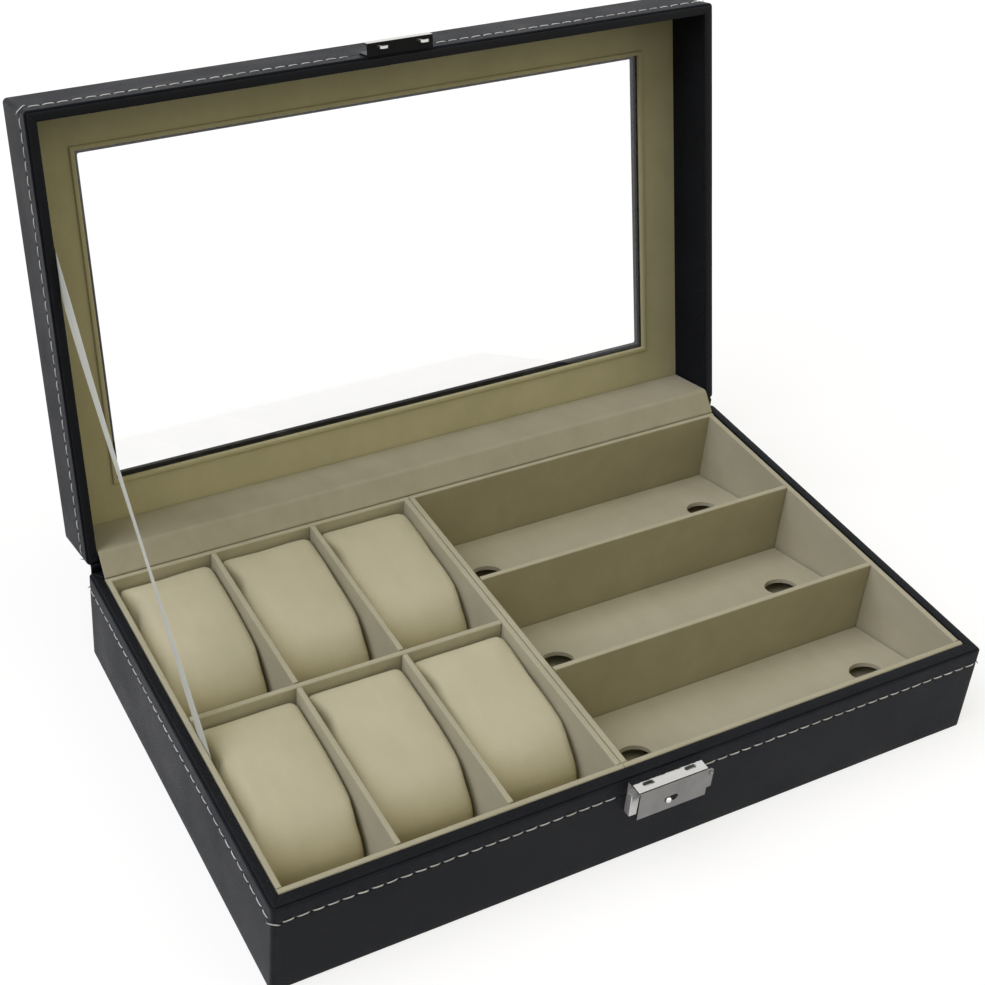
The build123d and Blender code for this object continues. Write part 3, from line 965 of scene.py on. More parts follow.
@dataclass
class Skin:
    """A band of leather round the boards, with a stitch groove and a sunk place for the hinge leather."""

    carcass: Carcass
    name: str
    low: float
    high: float
    rolled_high: bool
    groove_z: float
    flap_low: float
    flap_high: float
    seed: int
    hinge: Hinge | None = None
    roll: float = 0.6
    groove_depth: float = 0.22
    groove_width: float = 0.9
    sink: float = 0.78
    waviness: float = 0.07
    proud: float = 0.08

    def section(self) -> tuple[Array, Array]:
        """Depth behind the outer face, and height, of each point of the closed section."""
        bend_in, bend_down = quarter_bend(self.roll)
        marks = np.array([-1.6, -1.0, -0.6, -0.3, 0.0, 0.3, 0.6, 1.0, 1.6]) * self.groove_width
        flap_edge = self.flap_low if self.rolled_high else self.flap_high
        marks = np.concatenate([marks + self.groove_z, flap_edge + np.array([-0.5, -0.1, 0.3])])
        plain = np.linspace(self.low + self.roll, self.high - self.roll, 12)
        face = np.unique(np.round(np.concatenate([plain, marks]), 3))
        face = face[(face >= self.low + self.roll) & (face <= self.high - self.roll)]
        depth = np.concatenate([bend_in[::-1], np.zeros(len(face) - 2), bend_in])
        height = np.concatenate([self.low + bend_down[::-1], face[1:-1], self.high - bend_down])
        back = np.array([self.high - 0.05, self.groove_z, self.low + 0.05])
        return np.concatenate([depth, np.full(3, 1.0)]), np.concatenate([height, back])

    def pressed(self, outer: Array, height: Array) -> Array:
        """How far each point belongs to the sunk place under the hinge leather, from 0 to 1."""
        rear = outer[:, 1] > self.carcass.half_y - 0.01
        inside = step_up(self.carcass.flap_half - np.abs(outer[:, 0]), -0.5, 0.1) * rear
        zone = step_up(height, self.flap_low - 0.4, self.flap_low + 0.1)
        zone = zone * step_up(-height, -self.flap_high - 0.1, -self.flap_high + 0.4)
        return inside[:, None] * zone

    def build(self) -> bpy.types.Object:
        """Makes the band as a closed ring.

        A point is the outer loop plus its depth times the step to the inner loop. The depth grows by
        a bell curve at the stitches, by the sink under the hinge leather, and by a faint ripple.
        """
        carcass = self.carcass
        thick = carcass.leather
        outer = carcass.outline(0.0, 0.0, carcass.corner)
        inner = carcass.outline(thick, thick, carcass.corner - thick)
        depth, height = self.section()
        across = (height - self.low) / (self.high - self.low)
        on_face = np.clip(1 - depth / self.roll, 0.0, 1.0)
        groove = np.exp(-((height - self.groove_z) / self.groove_width * 1.8) ** 2)
        press = self.pressed(outer, height)
        extra = self.groove_depth * groove * on_face * (1 - press)
        wave = ripple(around_share(outer), across[None, :], self.waviness, self.seed)
        extra = extra + wave * on_face * (1 - press)
        full = np.clip(depth + np.maximum(extra, -self.proud), -self.proud, 1.0)
        full = np.where(depth < 0.999, np.maximum(full, press * self.sink), depth)
        past = np.abs(outer) > np.array([carcass.half_x, carcass.half_y]) - 2.2
        ends = np.minimum(height - self.low, self.high - height)
        rubbed = np.maximum(np.all(past, axis=1)[:, None] * 0.9, np.exp(-ends / 0.5)[None, :] * 0.55)
        grid = band_grid(outer, inner, full, height)
        return grid_object(self.name, grid, rubbed * (depth < 0.99), self.hinge)


@dataclass
class RimRoll:
    """The strip of leather folded over a rim, slightly crowned, with a mitre fold at each corner."""

    carcass: Carcass
    name: str
    face_z: float
    back_z: float
    rim_x: float
    rim_y: float
    seed: int
    hinge: Hinge | None = None
    edge: float = 0.6
    crown: float = 0.07
    fold_depth: float = 0.22
    fold_width: float = 0.45
    waviness: float = 0.05

    def build(self) -> bpy.types.Object:
        """Makes the strip between the boards' outline and the rim's inner edge.

        Across the strip the height follows two rounded edges and a shallow arch between them; at a
        corner it dips along the diagonal by a narrow bell curve.
        """
        carcass = self.carcass
        thick = abs(self.face_z - self.back_z)
        outer = carcass.outline(carcass.leather, carcass.leather, carcass.corner - carcass.leather)
        inner = carcass.outline(self.rim_x, self.rim_y, 0.3)
        bend_in, bend_down = quarter_bend(self.edge)
        width = min(self.rim_x, self.rim_y) - carcass.leather
        arch = np.linspace(0.0, 1.0, 9)[1:-1]
        across = [bend_in, self.edge + arch * (width - 2 * self.edge), width - bend_in[::-1]]
        share = np.concatenate([np.concatenate(across) / width, [1.0, 0.0]])
        lift = self.crown * np.sin(math.pi * arch)
        drop = np.concatenate([bend_down, -lift, bend_down[::-1], np.full(2, thick - 0.02)])
        straight = np.array([carcass.half_x, carcass.half_y]) - carcass.corner
        past_x, past_y = (np.abs(outer) - straight).T
        diagonal = np.where((past_x > 0) & (past_y > 0), bell(past_x - past_y, 0.0, self.fold_width), 0.0)
        wave = ripple(around_share(outer), share[None, :], self.waviness, self.seed)
        fold = diagonal[:, None] * self.fold_depth * (drop < self.edge) + wave * (np.abs(drop) < 0.2)
        sign = 1.0 if self.face_z > self.back_z else -1.0
        height = self.face_z - sign * np.clip(drop[None, :] + fold, -0.1, thick)
        rubbed = np.maximum(diagonal[:, None] * 0.5, np.exp(-np.abs(share - 0.12) / 0.1)[None, :] * 0.5)
        return grid_object(self.name, band_grid(outer, inner, share, height), rubbed, self.hinge)


@dataclass
class TopCover:
    """The leather on the lid's top, rolled at the outer edge and turned down into the window."""

    carcass: Carcass
    hinge: Hinge
    margin: float = 27.0
    thickness: float = 0.8
    lip: float = 0.25
    lip_roll: float = 0.9
    board: float = 2.6
    roll: float = 0.7
    groove_depth: float = 0.14
    groove_width: float = 0.8
    waviness: float = 0.05

    def build(self) -> bpy.types.Object:
        """Makes the frame from its outer outline to the window, as a closed ring."""
        carcass = self.carcass
        outer = carcass.outline(0.0, 0.0, carcass.corner)
        inner = carcass.outline(self.margin, self.margin, 1.0)
        bend_in, bend_down = quarter_bend(self.roll)
        lip_in, lip_down = quarter_bend(self.lip_roll)
        flat = np.linspace(self.roll + 1.0, self.margin - 1.6, 14)
        top = carcass.lid_high
        low = top - self.thickness
        glass = top - self.thickness - self.board + 0.05
        groove = self.groove_depth * bell(flat, carcass.top_stitch_inset, self.groove_width)
        wall = self.margin + 0.03
        window = self.margin + self.lip
        across = np.concatenate([[0.9], bend_in, flat, window - lip_in[::-1], [window, wall, wall]])
        height = np.concatenate([
            [low + 0.02], top - np.minimum(bend_down, self.thickness - 0.05), top - groove,
            top - lip_down[::-1], [glass, glass, low]])
        share = across / self.margin
        wave = ripple(around_share(outer), share[None, :], self.waviness, SEED + 5)
        wave = np.minimum(wave * ((height > top - 0.2) & (across > self.roll)), 0.0)
        rubbed = np.exp(-np.abs(across - 0.3) / 0.5) * 0.6
        rubbed = rubbed + np.exp(-np.abs(across - self.margin) / 0.5) * 0.4
        grid = band_grid(outer, inner, share, height[None, :] + wave)
        return grid_object("lid_top_cover", grid, rubbed, self.hinge)


# Dressing


def dress(piece: bpy.types.Object, material: bpy.types.Material) -> None:
    """Gives a piece its material."""
    piece.data.materials.clear()
    piece.data.materials.append(material)


def put(
    piece: bpy.types.Object, material: bpy.types.Material, body: str = "",
    node: str = ""
) -> None:
    """Dresses a piece, puts it on the body that it rides on, and hides the node that it stands for.

    Args:
        piece: The piece.
        material: Its material.
        body: The body that it rides on, if any.
        node: The node that it stands for.
    """
    dress(piece, material)
    if body:
        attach(piece, body)
    if node:
        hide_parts(node)
    log.info("%s: %d faces", piece.name, len(piece.data.polygons))


def hang(piece: bpy.types.Object) -> None:
    """Bakes a sheet's placement into its mesh.

    Args:
        piece: The sheet.
    """
    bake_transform(piece)


# Stitching


@dataclass(frozen=True)
class StitchRow:
    """A row of stitches along a closed line, each a little arched dash of thread."""

    pitch: float = 6.0
    dash: float = 5.6
    half_width: float = 0.34
    proud: float = 0.27
    flatness: float = 0.8
    rings: int = 7
    sides: int = 8

    def dashes(self, places: Array, along: Array, out: Array, seed: int) -> tuple[Array, list, Array]:
        """Copies one dash to each place.

        A dash is a grid: along it runs a line that arches over the leather and dips into it at both
        ends; round that line goes an ellipse that narrows to the ends.

        Args:
            places: The dashes' middles on the leather.
            along: Their directions.
            out: The leather's outward directions.
            seed: The seed of their small differences.

        Returns:
            Points, faces and UV places of them all.
        """
        rng = np.random.default_rng(seed)
        count = len(places)
        run = np.linspace(-1.0, 1.0, self.rings)
        ring = np.linspace(0.0, 2 * math.pi, self.sides, endpoint=False)
        thin = np.sqrt(np.clip(1.02 - run ** 4, 0.0, 1.0))[:, None]
        lift = self.proud * (1 - 1.9 * run ** 4)
        length = self.dash / 2 * rng.uniform(0.94, 1.05, count)
        lean = rng.normal(0.0, 0.045, count)
        height = rng.uniform(0.85, 1.1, count)
        across = np.cross(out, along)
        tilted = along + across * lean[:, None]
        shape = (count, self.rings, self.sides)
        u = np.broadcast_to(run[None, :, None], shape) * length[:, None, None]
        v = np.broadcast_to(thin * np.cos(ring), shape) * self.half_width
        w = np.broadcast_to(thin * np.sin(ring) * self.flatness, shape) * self.half_width * self.flatness
        w = (w + lift[None, :, None]) * height[:, None, None]
        points = places[:, None, None, :] + u[..., None] * tilted[:, None, None, :]
        points = points + v[..., None] * across[:, None, None, :] + w[..., None] * out[:, None, None, :]
        single = np.array(grid_faces(self.rings, self.sides, False))
        shift = np.arange(count)[:, None, None] * self.rings * self.sides
        faces = (single[None] + shift).reshape(-1, 4).tolist()
        first = np.arange(self.sides)
        ends = np.array([first[::-1], first + (self.rings - 1) * self.sides])
        faces += (ends[None] + shift).reshape(-1, self.sides).tolist()
        twist = np.broadcast_to(ring[None, None, :], shape) * self.half_width
        uv = np.stack([u + twist, twist], axis=-1).reshape(-1, 2) * MM
        return points.reshape(-1, 3), faces, uv

    def along_outline(self, half_x: float, half_y: float, radius: float) -> Array:
        """Evenly spaced places on a rounded rectangle.

        Args:
            half_x: Half its length.
            half_y: Half its depth.
            radius: Its corner radius.

        Returns:
            Places, directions and outward directions, each with a row of X and Y for each place.
        """
        runs = np.linspace(-0.99, 0.99, 60)
        loop = rounded_loop(half_x, half_y, radius, runs, runs)
        loop = np.concatenate([loop, loop[:1]])
        reach = run_along(loop)
        count = int(round(reach[-1] / self.pitch))
        at = (np.arange(count) + 0.5) / count * reach[-1]
        before, middle, after = (
            points_at(loop, reach, (at + step) % reach[-1]) for step in (-0.6, 0.0, 0.6))
        along = after - before
        along /= np.linalg.norm(along, axis=1)[:, None]
        return np.stack([middle, along, np.stack([along[:, 1], -along[:, 0]], axis=-1)])


@dataclass
class Stitching:
    """Three rows of stitches: round the base, round the lid, and round the lid's top."""

    carcass: Carcass
    hinge: Hinge
    row: StitchRow = StitchRow()
    side_sunk: float = 0.17
    top_sunk: float = 0.1

    def build(self, thread: bpy.types.Material) -> None:
        """Makes the rows, dresses them and puts them on their bodies.

        Both side rows are left out behind the latch.

        Args:
            thread: The rows' material.
        """
        carcass = self.carcass
        rows = (
            ("base_stitches", carcass.base_top - carcass.stitch_inset, Body.BASE, False),
            ("lid_stitches", carcass.lid_low + carcass.stitch_inset, Body.LID, False),
            ("lid_top_stitches", carcass.lid_high, Body.LID, True),
        )
        for number, (name, z, body, on_top) in enumerate(rows):
            inset = carcass.top_stitch_inset if on_top else 0.0
            flat = self.row.along_outline(carcass.half_x - inset, carcass.half_y - inset, carcass.corner)
            if not on_top:
                flat = flat[:, (np.abs(flat[0, :, 0]) >= carcass.latch_half) | (flat[0, :, 1] >= 0)]
            places, along, out = np.concatenate([flat, np.zeros((*flat.shape[:2], 1))], axis=-1)
            places[:, 2] = z
            out = np.tile([0.0, 0.0, 1.0], (len(places), 1)) if on_top else out
            places = places - out * (self.top_sunk if on_top else self.side_sunk)
            points, faces, uv = self.row.dashes(places, along, out, SEED + 1 + number)
            points = self.hinge.open(points) if body is Body.LID else points
            put(mesh_object(name, points, faces, uv=uv), thread, body=body.value)


# Leather pieces


@dataclass
class LeatherWork:
    """Skins, rims and top cover, which stand for the frame's plain ones."""

    carcass: Carcass
    hinge: Hinge
    lift: float = 0.2
    band_step: float = 0.8
    flap_past: float = 9.0
    trim: float = 1.2

    def build(self, finishes: dict[str, bpy.types.Material]) -> None:
        """Makes, dresses and places every leather piece."""
        carcass, hinge = self.carcass, self.hinge
        top, low = carcass.base_top, carcass.lid_low
        base_skin = Skin(
            carcass, "base_skin", self.lift, top - self.band_step, True, top - carcass.stitch_inset,
            top - carcass.flap, top + self.flap_past, SEED + 20)
        lid_skin = Skin(
            carcass, "lid_skin", low + self.band_step, carcass.lid_high - self.band_step, False,
            low + carcass.stitch_inset, low - self.flap_past, low + carcass.flap, SEED + 21, hinge)
        base_rim = RimRoll(
            carcass, "base_rim", top, top - self.trim, carcass.side_rim, carcass.front_rim, SEED + 30)
        lid_rim = RimRoll(
            carcass, "lid_rim", low, low + self.trim, carcass.lid_rim, carcass.lid_rim, SEED + 31, hinge)
        for maker, body, node, finish, slot in (
            (base_skin, Body.BASE, "base_leather", "leather", Slot.LEATHER),
            (lid_skin, Body.LID, "lid_leather", "lid_leather", Slot.LEATHER),
            (TopCover(carcass, hinge), Body.LID, "lid_top_leather", "lid_leather", Slot.LEATHER),
            (base_rim, Body.BASE, "base_rim_trim", "rim_leather", Slot.TRIM),
            (lid_rim, Body.LID, "lid_rim_trim", "rim_leather", Slot.TRIM),
        ):
            put(maker.build(), finishes[finish], body.value, node)


@dataclass
class LatchLip:
    """A narrow tongue of leather glued over the rear of the latch's top plate."""

    carcass: Carcass
    middle: float = 0.8
    half_width: float = 16.9
    reach: float = 2.7
    waver: float = 0.55
    thickness: float = 0.42
    gap: float = 0.04
    stations: int = 70

    def build(self, leather: bpy.types.Material) -> None:
        """Makes the tongue: a thin rounded section, carried along X, whose front edge wavers."""
        _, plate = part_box("latch_case")
        low = plate.z / MM + self.gap
        x = np.linspace(-self.half_width, self.half_width, self.stations)
        round_y, round_z = squared_ring(20, 0.5, 0.7)
        waver = ripple((x / self.half_width + 1) / 2, np.zeros_like(x), self.waver, SEED + 33)
        ends = np.sqrt(np.clip((self.half_width - np.abs(x)) / 0.8, 0.1, 1.0))
        length = (self.reach + waver) * (0.75 + 0.25 * ends)
        y = -self.carcass.half_y - 0.05 - length[:, None] * (1 + round_y) / 2
        z = low + self.thickness * ends[:, None] * (1 + round_z) / 2
        grid = np.stack(np.broadcast_arrays(x[:, None] + self.middle, y, z), axis=-1)
        piece = grid_object("latch_tongue", grid, (round_y > 0.8) * 0.7, ring=False)
        put(piece, leather, Body.BASE.value)


def squared_ring(count: int, power_first: float, power_second: float) -> tuple[Array, Array]:
    """A circle whose sides are flattened: cosine and sine with their sizes raised to a power.

    Args:
        count: How many points.
        power_first: The cosine's power, 1 for a plain circle.
        power_second: The sine's power.

    Returns:
        The two coordinates of each point, from -1 to 1.
    """
    turn = np.linspace(0.0, 2 * math.pi, count, endpoint=False)
    first = np.sign(np.cos(turn)) * np.abs(np.cos(turn)) ** power_first
    return first, np.sign(np.sin(turn)) * np.abs(np.sin(turn)) ** power_second


# Hinge strips and ribbon


@dataclass
class HingeStrips:
    """The outer hinge leather and the inner velvet strip, made in the open lid's place."""

    carcass: Carcass
    hinge: Hinge
    outer_thickness: float = 0.66
    outer_inset: float = 0.15
    lining_thickness: float = 0.8
    panel_z: float = 73.0
    wall_gap: float = 0.3
    overlap: float = 1.1
    slant: float = math.radians(26.0)

    def strip(
        self, name: str, corners: list, thickness: float, radius: float, half_width: float, wave: float,
        seed: int
    ) -> bpy.types.Object:
        """A bent sheet carried along X, with a faint ripple where it hangs free.

        Args:
            name: The piece's name.
            corners: Corners of its middle line as Y and Z.
            thickness: Its thickness.
            radius: Its bend radius.
            half_width: Half its width.
            wave: The ripple's height.
            seed: The ripple's seed.

        Returns:
            The strip.
        """
        path = smooth_path(np.array(corners), radius, 0.55)
        outline = offset_loop(path, thickness, thickness / 2)
        taper = np.array([0.0, 0.08, 0.2, 0.45, 0.8])
        stations = np.linspace(-half_width + 1.0, half_width - 1.0, 120)
        stations = np.concatenate([-half_width + taper, stations, half_width - taper[::-1]])
        centre = np.concatenate([path, path[::-1]])
        swell = np.sqrt(np.clip((half_width - np.abs(stations)) / (thickness / 2), 0.06, 1.0))
        section = centre[None] + (outline - centre)[None] * swell[:, None, None]
        middle = np.sin(np.linspace(0.0, math.pi, len(path))) ** 2
        middle = np.concatenate([middle, middle[::-1]])
        around = (stations[:, None] + half_width) / (2 * half_width)
        bulge = ripple(around, middle[None, :], wave, seed) * middle
        section = section + bulge[..., None] * np.array([0.7, 0.7])
        x = np.broadcast_to(stations[:, None, None], (*section.shape[:2], 1))
        return grid_object(name, np.concatenate([x, section], axis=-1), 0.0, ring=False)

    def corner_pair(self, y: float, low: float, high: float) -> tuple[tuple, tuple]:
        """Two points of the closed lid's rear wall, turned open."""
        turned = self.hinge.open(np.array([[y, low], [y, high]]))
        return tuple(turned[0]), tuple(turned[1])

    def outer(self, leather: bpy.types.Material) -> None:
        """Makes the hinge leather from one glued flap round the bend to the other.

        Args:
            leather: Its material.
        """
        carcass = self.carcass
        y = carcass.half_y - self.outer_thickness / 2 + 0.06
        flap = carcass.flap - 0.1
        lid_start, lid_end = self.corner_pair(y, carcass.lid_low, carcass.lid_low + flap)
        lean = (carcass.half_y - lid_start[0]) * math.tan(self.hinge.angle - math.pi / 2)
        corners = [(y, carcass.base_top - flap), (y, lid_start[1] - lean), lid_end]
        half = carcass.flap_half - self.outer_inset
        piece = self.strip("hinge_strip", corners, self.outer_thickness, 1.2, half, 0.10, SEED + 40)
        put(piece, leather, node="hinge_leather")
        hang(piece)

    def lining(self, velvet: bpy.types.Material) -> None:
        """Makes the velvet strip from the base's rim over the lid's rear wall up to the panel."""
        carcass = self.carcass
        base_edge = (carcass.half_y - carcass.front_rim - self.overlap, carcass.base_top + 0.16)
        wall_y = carcass.half_y - carcass.lid_rim - self.wall_gap - self.lining_thickness / 2
        fold, panel = self.corner_pair(wall_y, carcass.lid_low - self.wall_gap, self.panel_z - 0.1)
        reach = carcass.half_x - carcass.lid_rim - self.wall_gap
        corners = [base_edge, fold, panel]
        piece = self.strip("hinge_velvet", corners, self.lining_thickness, 2.2, reach, 0.28, SEED + 41)
        put(piece, velvet, node="hinge_lining")
        hang(piece)


@dataclass
class StayRibbon:
    """The satin ribbon that stops the lid, nearly tight and slightly turned on itself."""

    hinge: Hinge
    width: float = 10.0
    thickness: float = 0.34
    sag: float = 4.0
    bow: float = 0.5
    twist: float = 0.13
    untwist: float = 0.08
    lid_from_front: float = 56.5
    base_from_front: float = 76.0
    lid_depth: float = 8.0
    base_depth: float = 10.0
    tab: float = 20.0
    wall_gap: float = 0.03
    held_rows: int = 8

    def build(self, carcass: Carcass, satin: bpy.types.Material) -> None:
        """Makes the ribbon between its two glued ends.

        Its middle line is straight plus a parabola of sag; its cross section is a thin rounded strip
        that turns about that line by a wide bell curve one way and a narrower one the other way.

        Args:
            carcass: The box's outline.
            satin: The ribbon's material.
        """
        low, high = (np.array(corner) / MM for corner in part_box("stay_ribbon"))
        base = np.array([-carcass.half_y + self.base_from_front, carcass.base_top - self.base_depth])
        lid = self.hinge.open(np.array([
            -carcass.half_y + self.lid_from_front, carcass.lid_low + self.lid_depth]))
        run = float(np.linalg.norm(lid - base))
        u = np.linspace(0.0, 1.0, 150)
        free = step_up(u, self.tab / run * 0.6, self.tab / run * 1.6)
        free = free * (1 - step_up(u, 1 - self.tab / run * 1.6, 1 - self.tab / run * 0.6))
        base_x = high[0] - self.thickness / 2 - self.wall_gap
        lid_x = low[0] + self.thickness / 2 + self.wall_gap
        shift = step_up(u, self.tab / run, 1 - self.tab / run)
        x = base_x + (lid_x - base_x) * shift + self.bow * free * np.sin(math.pi * u)
        along = (lid - base) / run
        down = np.array([along[1], -along[0]])
        middle = base + np.outer(u, lid - base) + np.outer(self.sag * 4 * u * (1 - u) * free, down)
        line = np.column_stack([x, middle])
        angle = (self.twist * bell(u, 0.42, 0.22) - self.untwist * bell(u, 0.86, 0.12)) * free
        cosine, sine = np.cos(angle)[:, None], np.sin(angle)[:, None]
        sideways, downwards = np.array([1.0, 0.0, 0.0]), np.array([0.0, *down])
        wide = cosine * downwards + sine * sideways
        thick = cosine * sideways - sine * downwards
        flat, round_edge = squared_ring(28, 0.7, 1.0)
        flat = flat * self.width / 2
        round_edge = round_edge * self.thickness / 2
        grid = line[:, None] + wide[:, None] * flat[None, :, None]
        grid = grid + thick[:, None] * round_edge[None, :, None]
        uv = np.stack(np.broadcast_arrays(u[:, None] * run, flat[None, :]), axis=-1).reshape(-1, 2) * MM
        piece = grid_object("satin_ribbon", grid, ring=False, uv=uv, sharp=70.0)
        put(piece, satin, node="stay_ribbon")
        hang(piece)


# Cushions


@dataclass
class WatchCushions:
    """Six stuffed velvet cushions, swollen by a cloth simulation inside their cells."""

    rows: tuple[str, ...] = ("front", "rear")
    columns: tuple[str, ...] = ("left", "middle", "right")
    slack: float = 0.7
    voxel: float = 2.0
    pressure: float = 3.0
    cap: float = 1.3
    frames: int = 20
    stand_proud: float = 0.2
    dent: float = 0.22
    pinch: float = 3.2
    crisp: float = 0.03
    droop: float = 2.2
    narrow: float = 0.5
    rise: float = 1.8
    reach_back: float = 0.8

    def nodes(self) -> list[str]:
        """The frame's cushion nodes."""
        return [f"watch_pillow_{row}_{column}" for row in self.rows for column in self.columns]

    def blank(self, frame: dict, node: str) -> bpy.types.Object:
        """A slightly smaller copy of a plain cushion, remeshed evenly.

        Args:
            frame: The loaded frame.
            node: The plain cushion's node.

        Returns:
            The copy, with its remesh applied.
        """
        mesh = frame["nodes"][node].data.copy()
        low, high = (np.array(corner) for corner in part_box(node))
        middle = (low + high) / 2
        shrink = 1 - 2 * self.slack * MM / (high - low)
        self.move(mesh, middle + (self.coordinates(mesh) - middle) * shrink)
        merged = bmesh.new()
        merged.from_mesh(mesh)
        bmesh.ops.remove_doubles(merged, verts=merged.verts, dist=WELD * MM)
        merged.to_mesh(mesh)
        merged.free()
        piece = linked(node.replace("watch_pillow", "cushion"), mesh)
        remesh = piece.modifiers.new("even", "REMESH")
        remesh.mode = "VOXEL"
        remesh.voxel_size = self.voxel * MM
        self.settle(piece)
        return piece

    @staticmethod
    def settle(piece: bpy.types.Object) -> None:
        """Replaces a piece's mesh by what its modifiers make of it."""
        seen = piece.evaluated_get(bpy.context.evaluated_depsgraph_get())
        made = bpy.data.meshes.new_from_object(seen)
        made.name = piece.name
        piece.modifiers.clear()
        piece.data = made

    @staticmethod
    def coordinates(mesh: bpy.types.Mesh) -> Array:
        """The mesh's points in metres, one row each."""
        points = np.zeros(len(mesh.vertices) * 3, np.float32)
        mesh.vertices.foreach_get("co", points)
        return points.reshape(-1, 3).astype(float)

    @staticmethod
    def move(mesh: bpy.types.Mesh, points: Array) -> None:
        """Moves the mesh's points to the given places in metres."""
        mesh.vertices.foreach_set("co", points.astype(np.float32).ravel())

    def swell(self, pieces: list[bpy.types.Object]) -> None:
        """Lets air pressure fill the covers, with gravity off.

        Args:
            pieces: The blanks.
        """
        for piece in pieces:
            cloth = piece.modifiers.new("cover", "CLOTH")
            cloth.settings.use_pressure = True
            cloth.settings.uniform_pressure_force = self.pressure
            cloth.settings.effector_weights.gravity = 0.0
            cloth.settings.quality = 6
            cloth.point_cache.frame_start = 1
            cloth.point_cache.frame_end = self.frames
        for number in range(1, self.frames + 1):
            bpy.context.scene.frame_set(number)
        for piece in pieces:
            before = self.coordinates(piece.data)
            self.settle(piece)
            moved = self.coordinates(piece.data) - before
            reach = np.linalg.norm(moved, axis=1)
            cut = np.minimum(1.0, self.cap * MM / np.maximum(reach, 1e-9))
            self.move(piece.data, before + moved * cut[:, None])
        bpy.context.scene.frame_set(1)

    def fit(self, piece: bpy.types.Object, node: str, seed: int) -> None:
        """Presses a cushion into its cell: flat underneath and clear of the cards, with slight dents.

        Args:
            piece: The cushion.
            node: The node whose place it takes.
            seed: The seed of its dents.
        """
        points = self.coordinates(piece.data)
        low, high = (np.array(corner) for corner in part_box(node))
        across, deep, up = ((points - low) / (high - low)).T
        middle = (low + high) / 2
        phase = np.random.default_rng(seed).uniform(0.0, 2 * math.pi, 4)
        dents = np.sin(7.0 * deep + 3.0 * across + phase[0]) * np.sin(5.0 * across + phase[1])
        dents = dents + 0.5 * np.sin(13.0 * deep + phase[2]) * np.sin(9.0 * across + phase[3])
        top = step_up(up, 0.3, 0.8)
        points[:, 2] += self.dent * MM * dents * top
        left = step_up(0.5 - across, 0.0, 0.4)
        slit = bell(deep, 0.8, 0.12) * step_up(up, 0.15, 0.5)
        points[:, 0] += self.pinch * MM * slit * step_up(0.24 - across, 0.0, 0.24)
        upper = step_up(up, 0.75, 1.0)
        ear = step_up(deep, 0.9, 1.0) * upper
        points[:, 0] += (points[:, 0] - middle[0]) * (0.14 * ear * left + 0.06 * upper * (1 - left))
        points[:, 1:] += (points[:, 1:] - middle[1:]) * self.crisp * ear[:, None] * [1.0, 1.4]
        front = step_up(0.62 - deep, 0.0, 0.5) * top
        points[:, 2] -= self.droop * MM * front
        points[:, 0] -= self.narrow * MM * front * step_up(across, 0.6, 1.0)
        back = step_up(deep, 0.45, 1.0) * top
        points[:, 2] += self.rise * MM * back
        points[:, 1] += self.reach_back * MM * back * step_up(deep, 0.8, 1.0)
        proud = self.stand_proud * MM
        limit = high + np.array([proud, self.reach_back * MM, self.rise * MM])
        self.move(piece.data, np.clip(points, low + [-proud, -proud, 0.0], limit))
        piece.data.update()

    def build(self, frame: dict, velvet: bpy.types.Material) -> None:
        """Makes all six cushions.

        Args:
            frame: The loaded frame.
            velvet: Their cover.
        """
        names = self.nodes()
        pieces = [self.blank(frame, node) for node in names]
        self.swell(pieces)
        for number, (piece, node) in enumerate(zip(pieces, names)):
            self.fit(piece, node, SEED + 60 + number)
            smooth = piece.modifiers.new("soften", "SMOOTH")
            smooth.iterations = 2
            smooth.factor = 0.5
            finer = piece.modifiers.new("finer", "SUBSURF")
            finer.levels = 1
            finer.render_levels = 1
            self.settle(piece)
            piece.data.shade_smooth()
            put(piece, velvet, node.replace("watch_", ""), node)


# The frame's own nodes


@dataclass
class FramePieces:
    """The nodes that keep their shape and get a finish."""

    frame: dict
    finishes: dict[str, bpy.types.Material]
    edge_break: float = 0.14
    crisp_past: float = 40.0

    def finish_of(self, node: str) -> tuple[str, Slot]:
        """The finish and slot of a node, from what its name says it is."""
        rules = (
            (("latch_cover", "latch_hook_plate"), "satin_metal", Slot.METAL),
            (("latch_case",), "case_metal_painted_shade", Slot.METAL),
            (("lid_catch",), "catch_metal_painted_reflection", Slot.METAL),
            (("latch", "catch"), "polished_metal", Slot.METAL),
            (("lid_top_board",), "dark_board", Slot.BOARD),
            (("glass_packing", "board"), "board", Slot.BOARD),
            (("window_glass",), "glass", Slot.GLASS),
            (("base_felt",), "felt", Slot.FELT),
            (("lid_lining",), "leather", Slot.LEATHER),
            (("lid_panel", "window_bead"), "panel_velvet", Slot.VELVET),
            (("glasses_divider", "glasses_tray_rear_wall"), "divider_velvet_painted_shade", Slot.VELVET),
        )
        for words, finish, slot in rules:
            if any(word in node for word in words):
                return finish, slot
        return "tray_velvet", Slot.VELVET

    def soften_metal(self, piece: bpy.types.Object) -> None:
        """Merges a metal node's loose faces for show and breaks its sharp edges."""
        weld = piece.modifiers.new("weld", "WELD")
        weld.merge_threshold = WELD * MM
        bevel = piece.modifiers.new("broken_edges", "BEVEL")
        bevel.width = self.edge_break * MM
        bevel.segments = 2
        bevel.limit_method = "ANGLE"
        bevel.angle_limit = math.radians(self.crisp_past)

    def build(self) -> None:
        """Dresses every node of the frame."""
        for name, piece in self.frame["nodes"].items():
            finish, slot = self.finish_of(name)
            dress(piece, self.finishes[finish])
            if slot is Slot.METAL and "rivets" not in name:
                self.soften_metal(piece)
        log.info("%d nodes dressed", len(self.frame["nodes"]))


# Studio


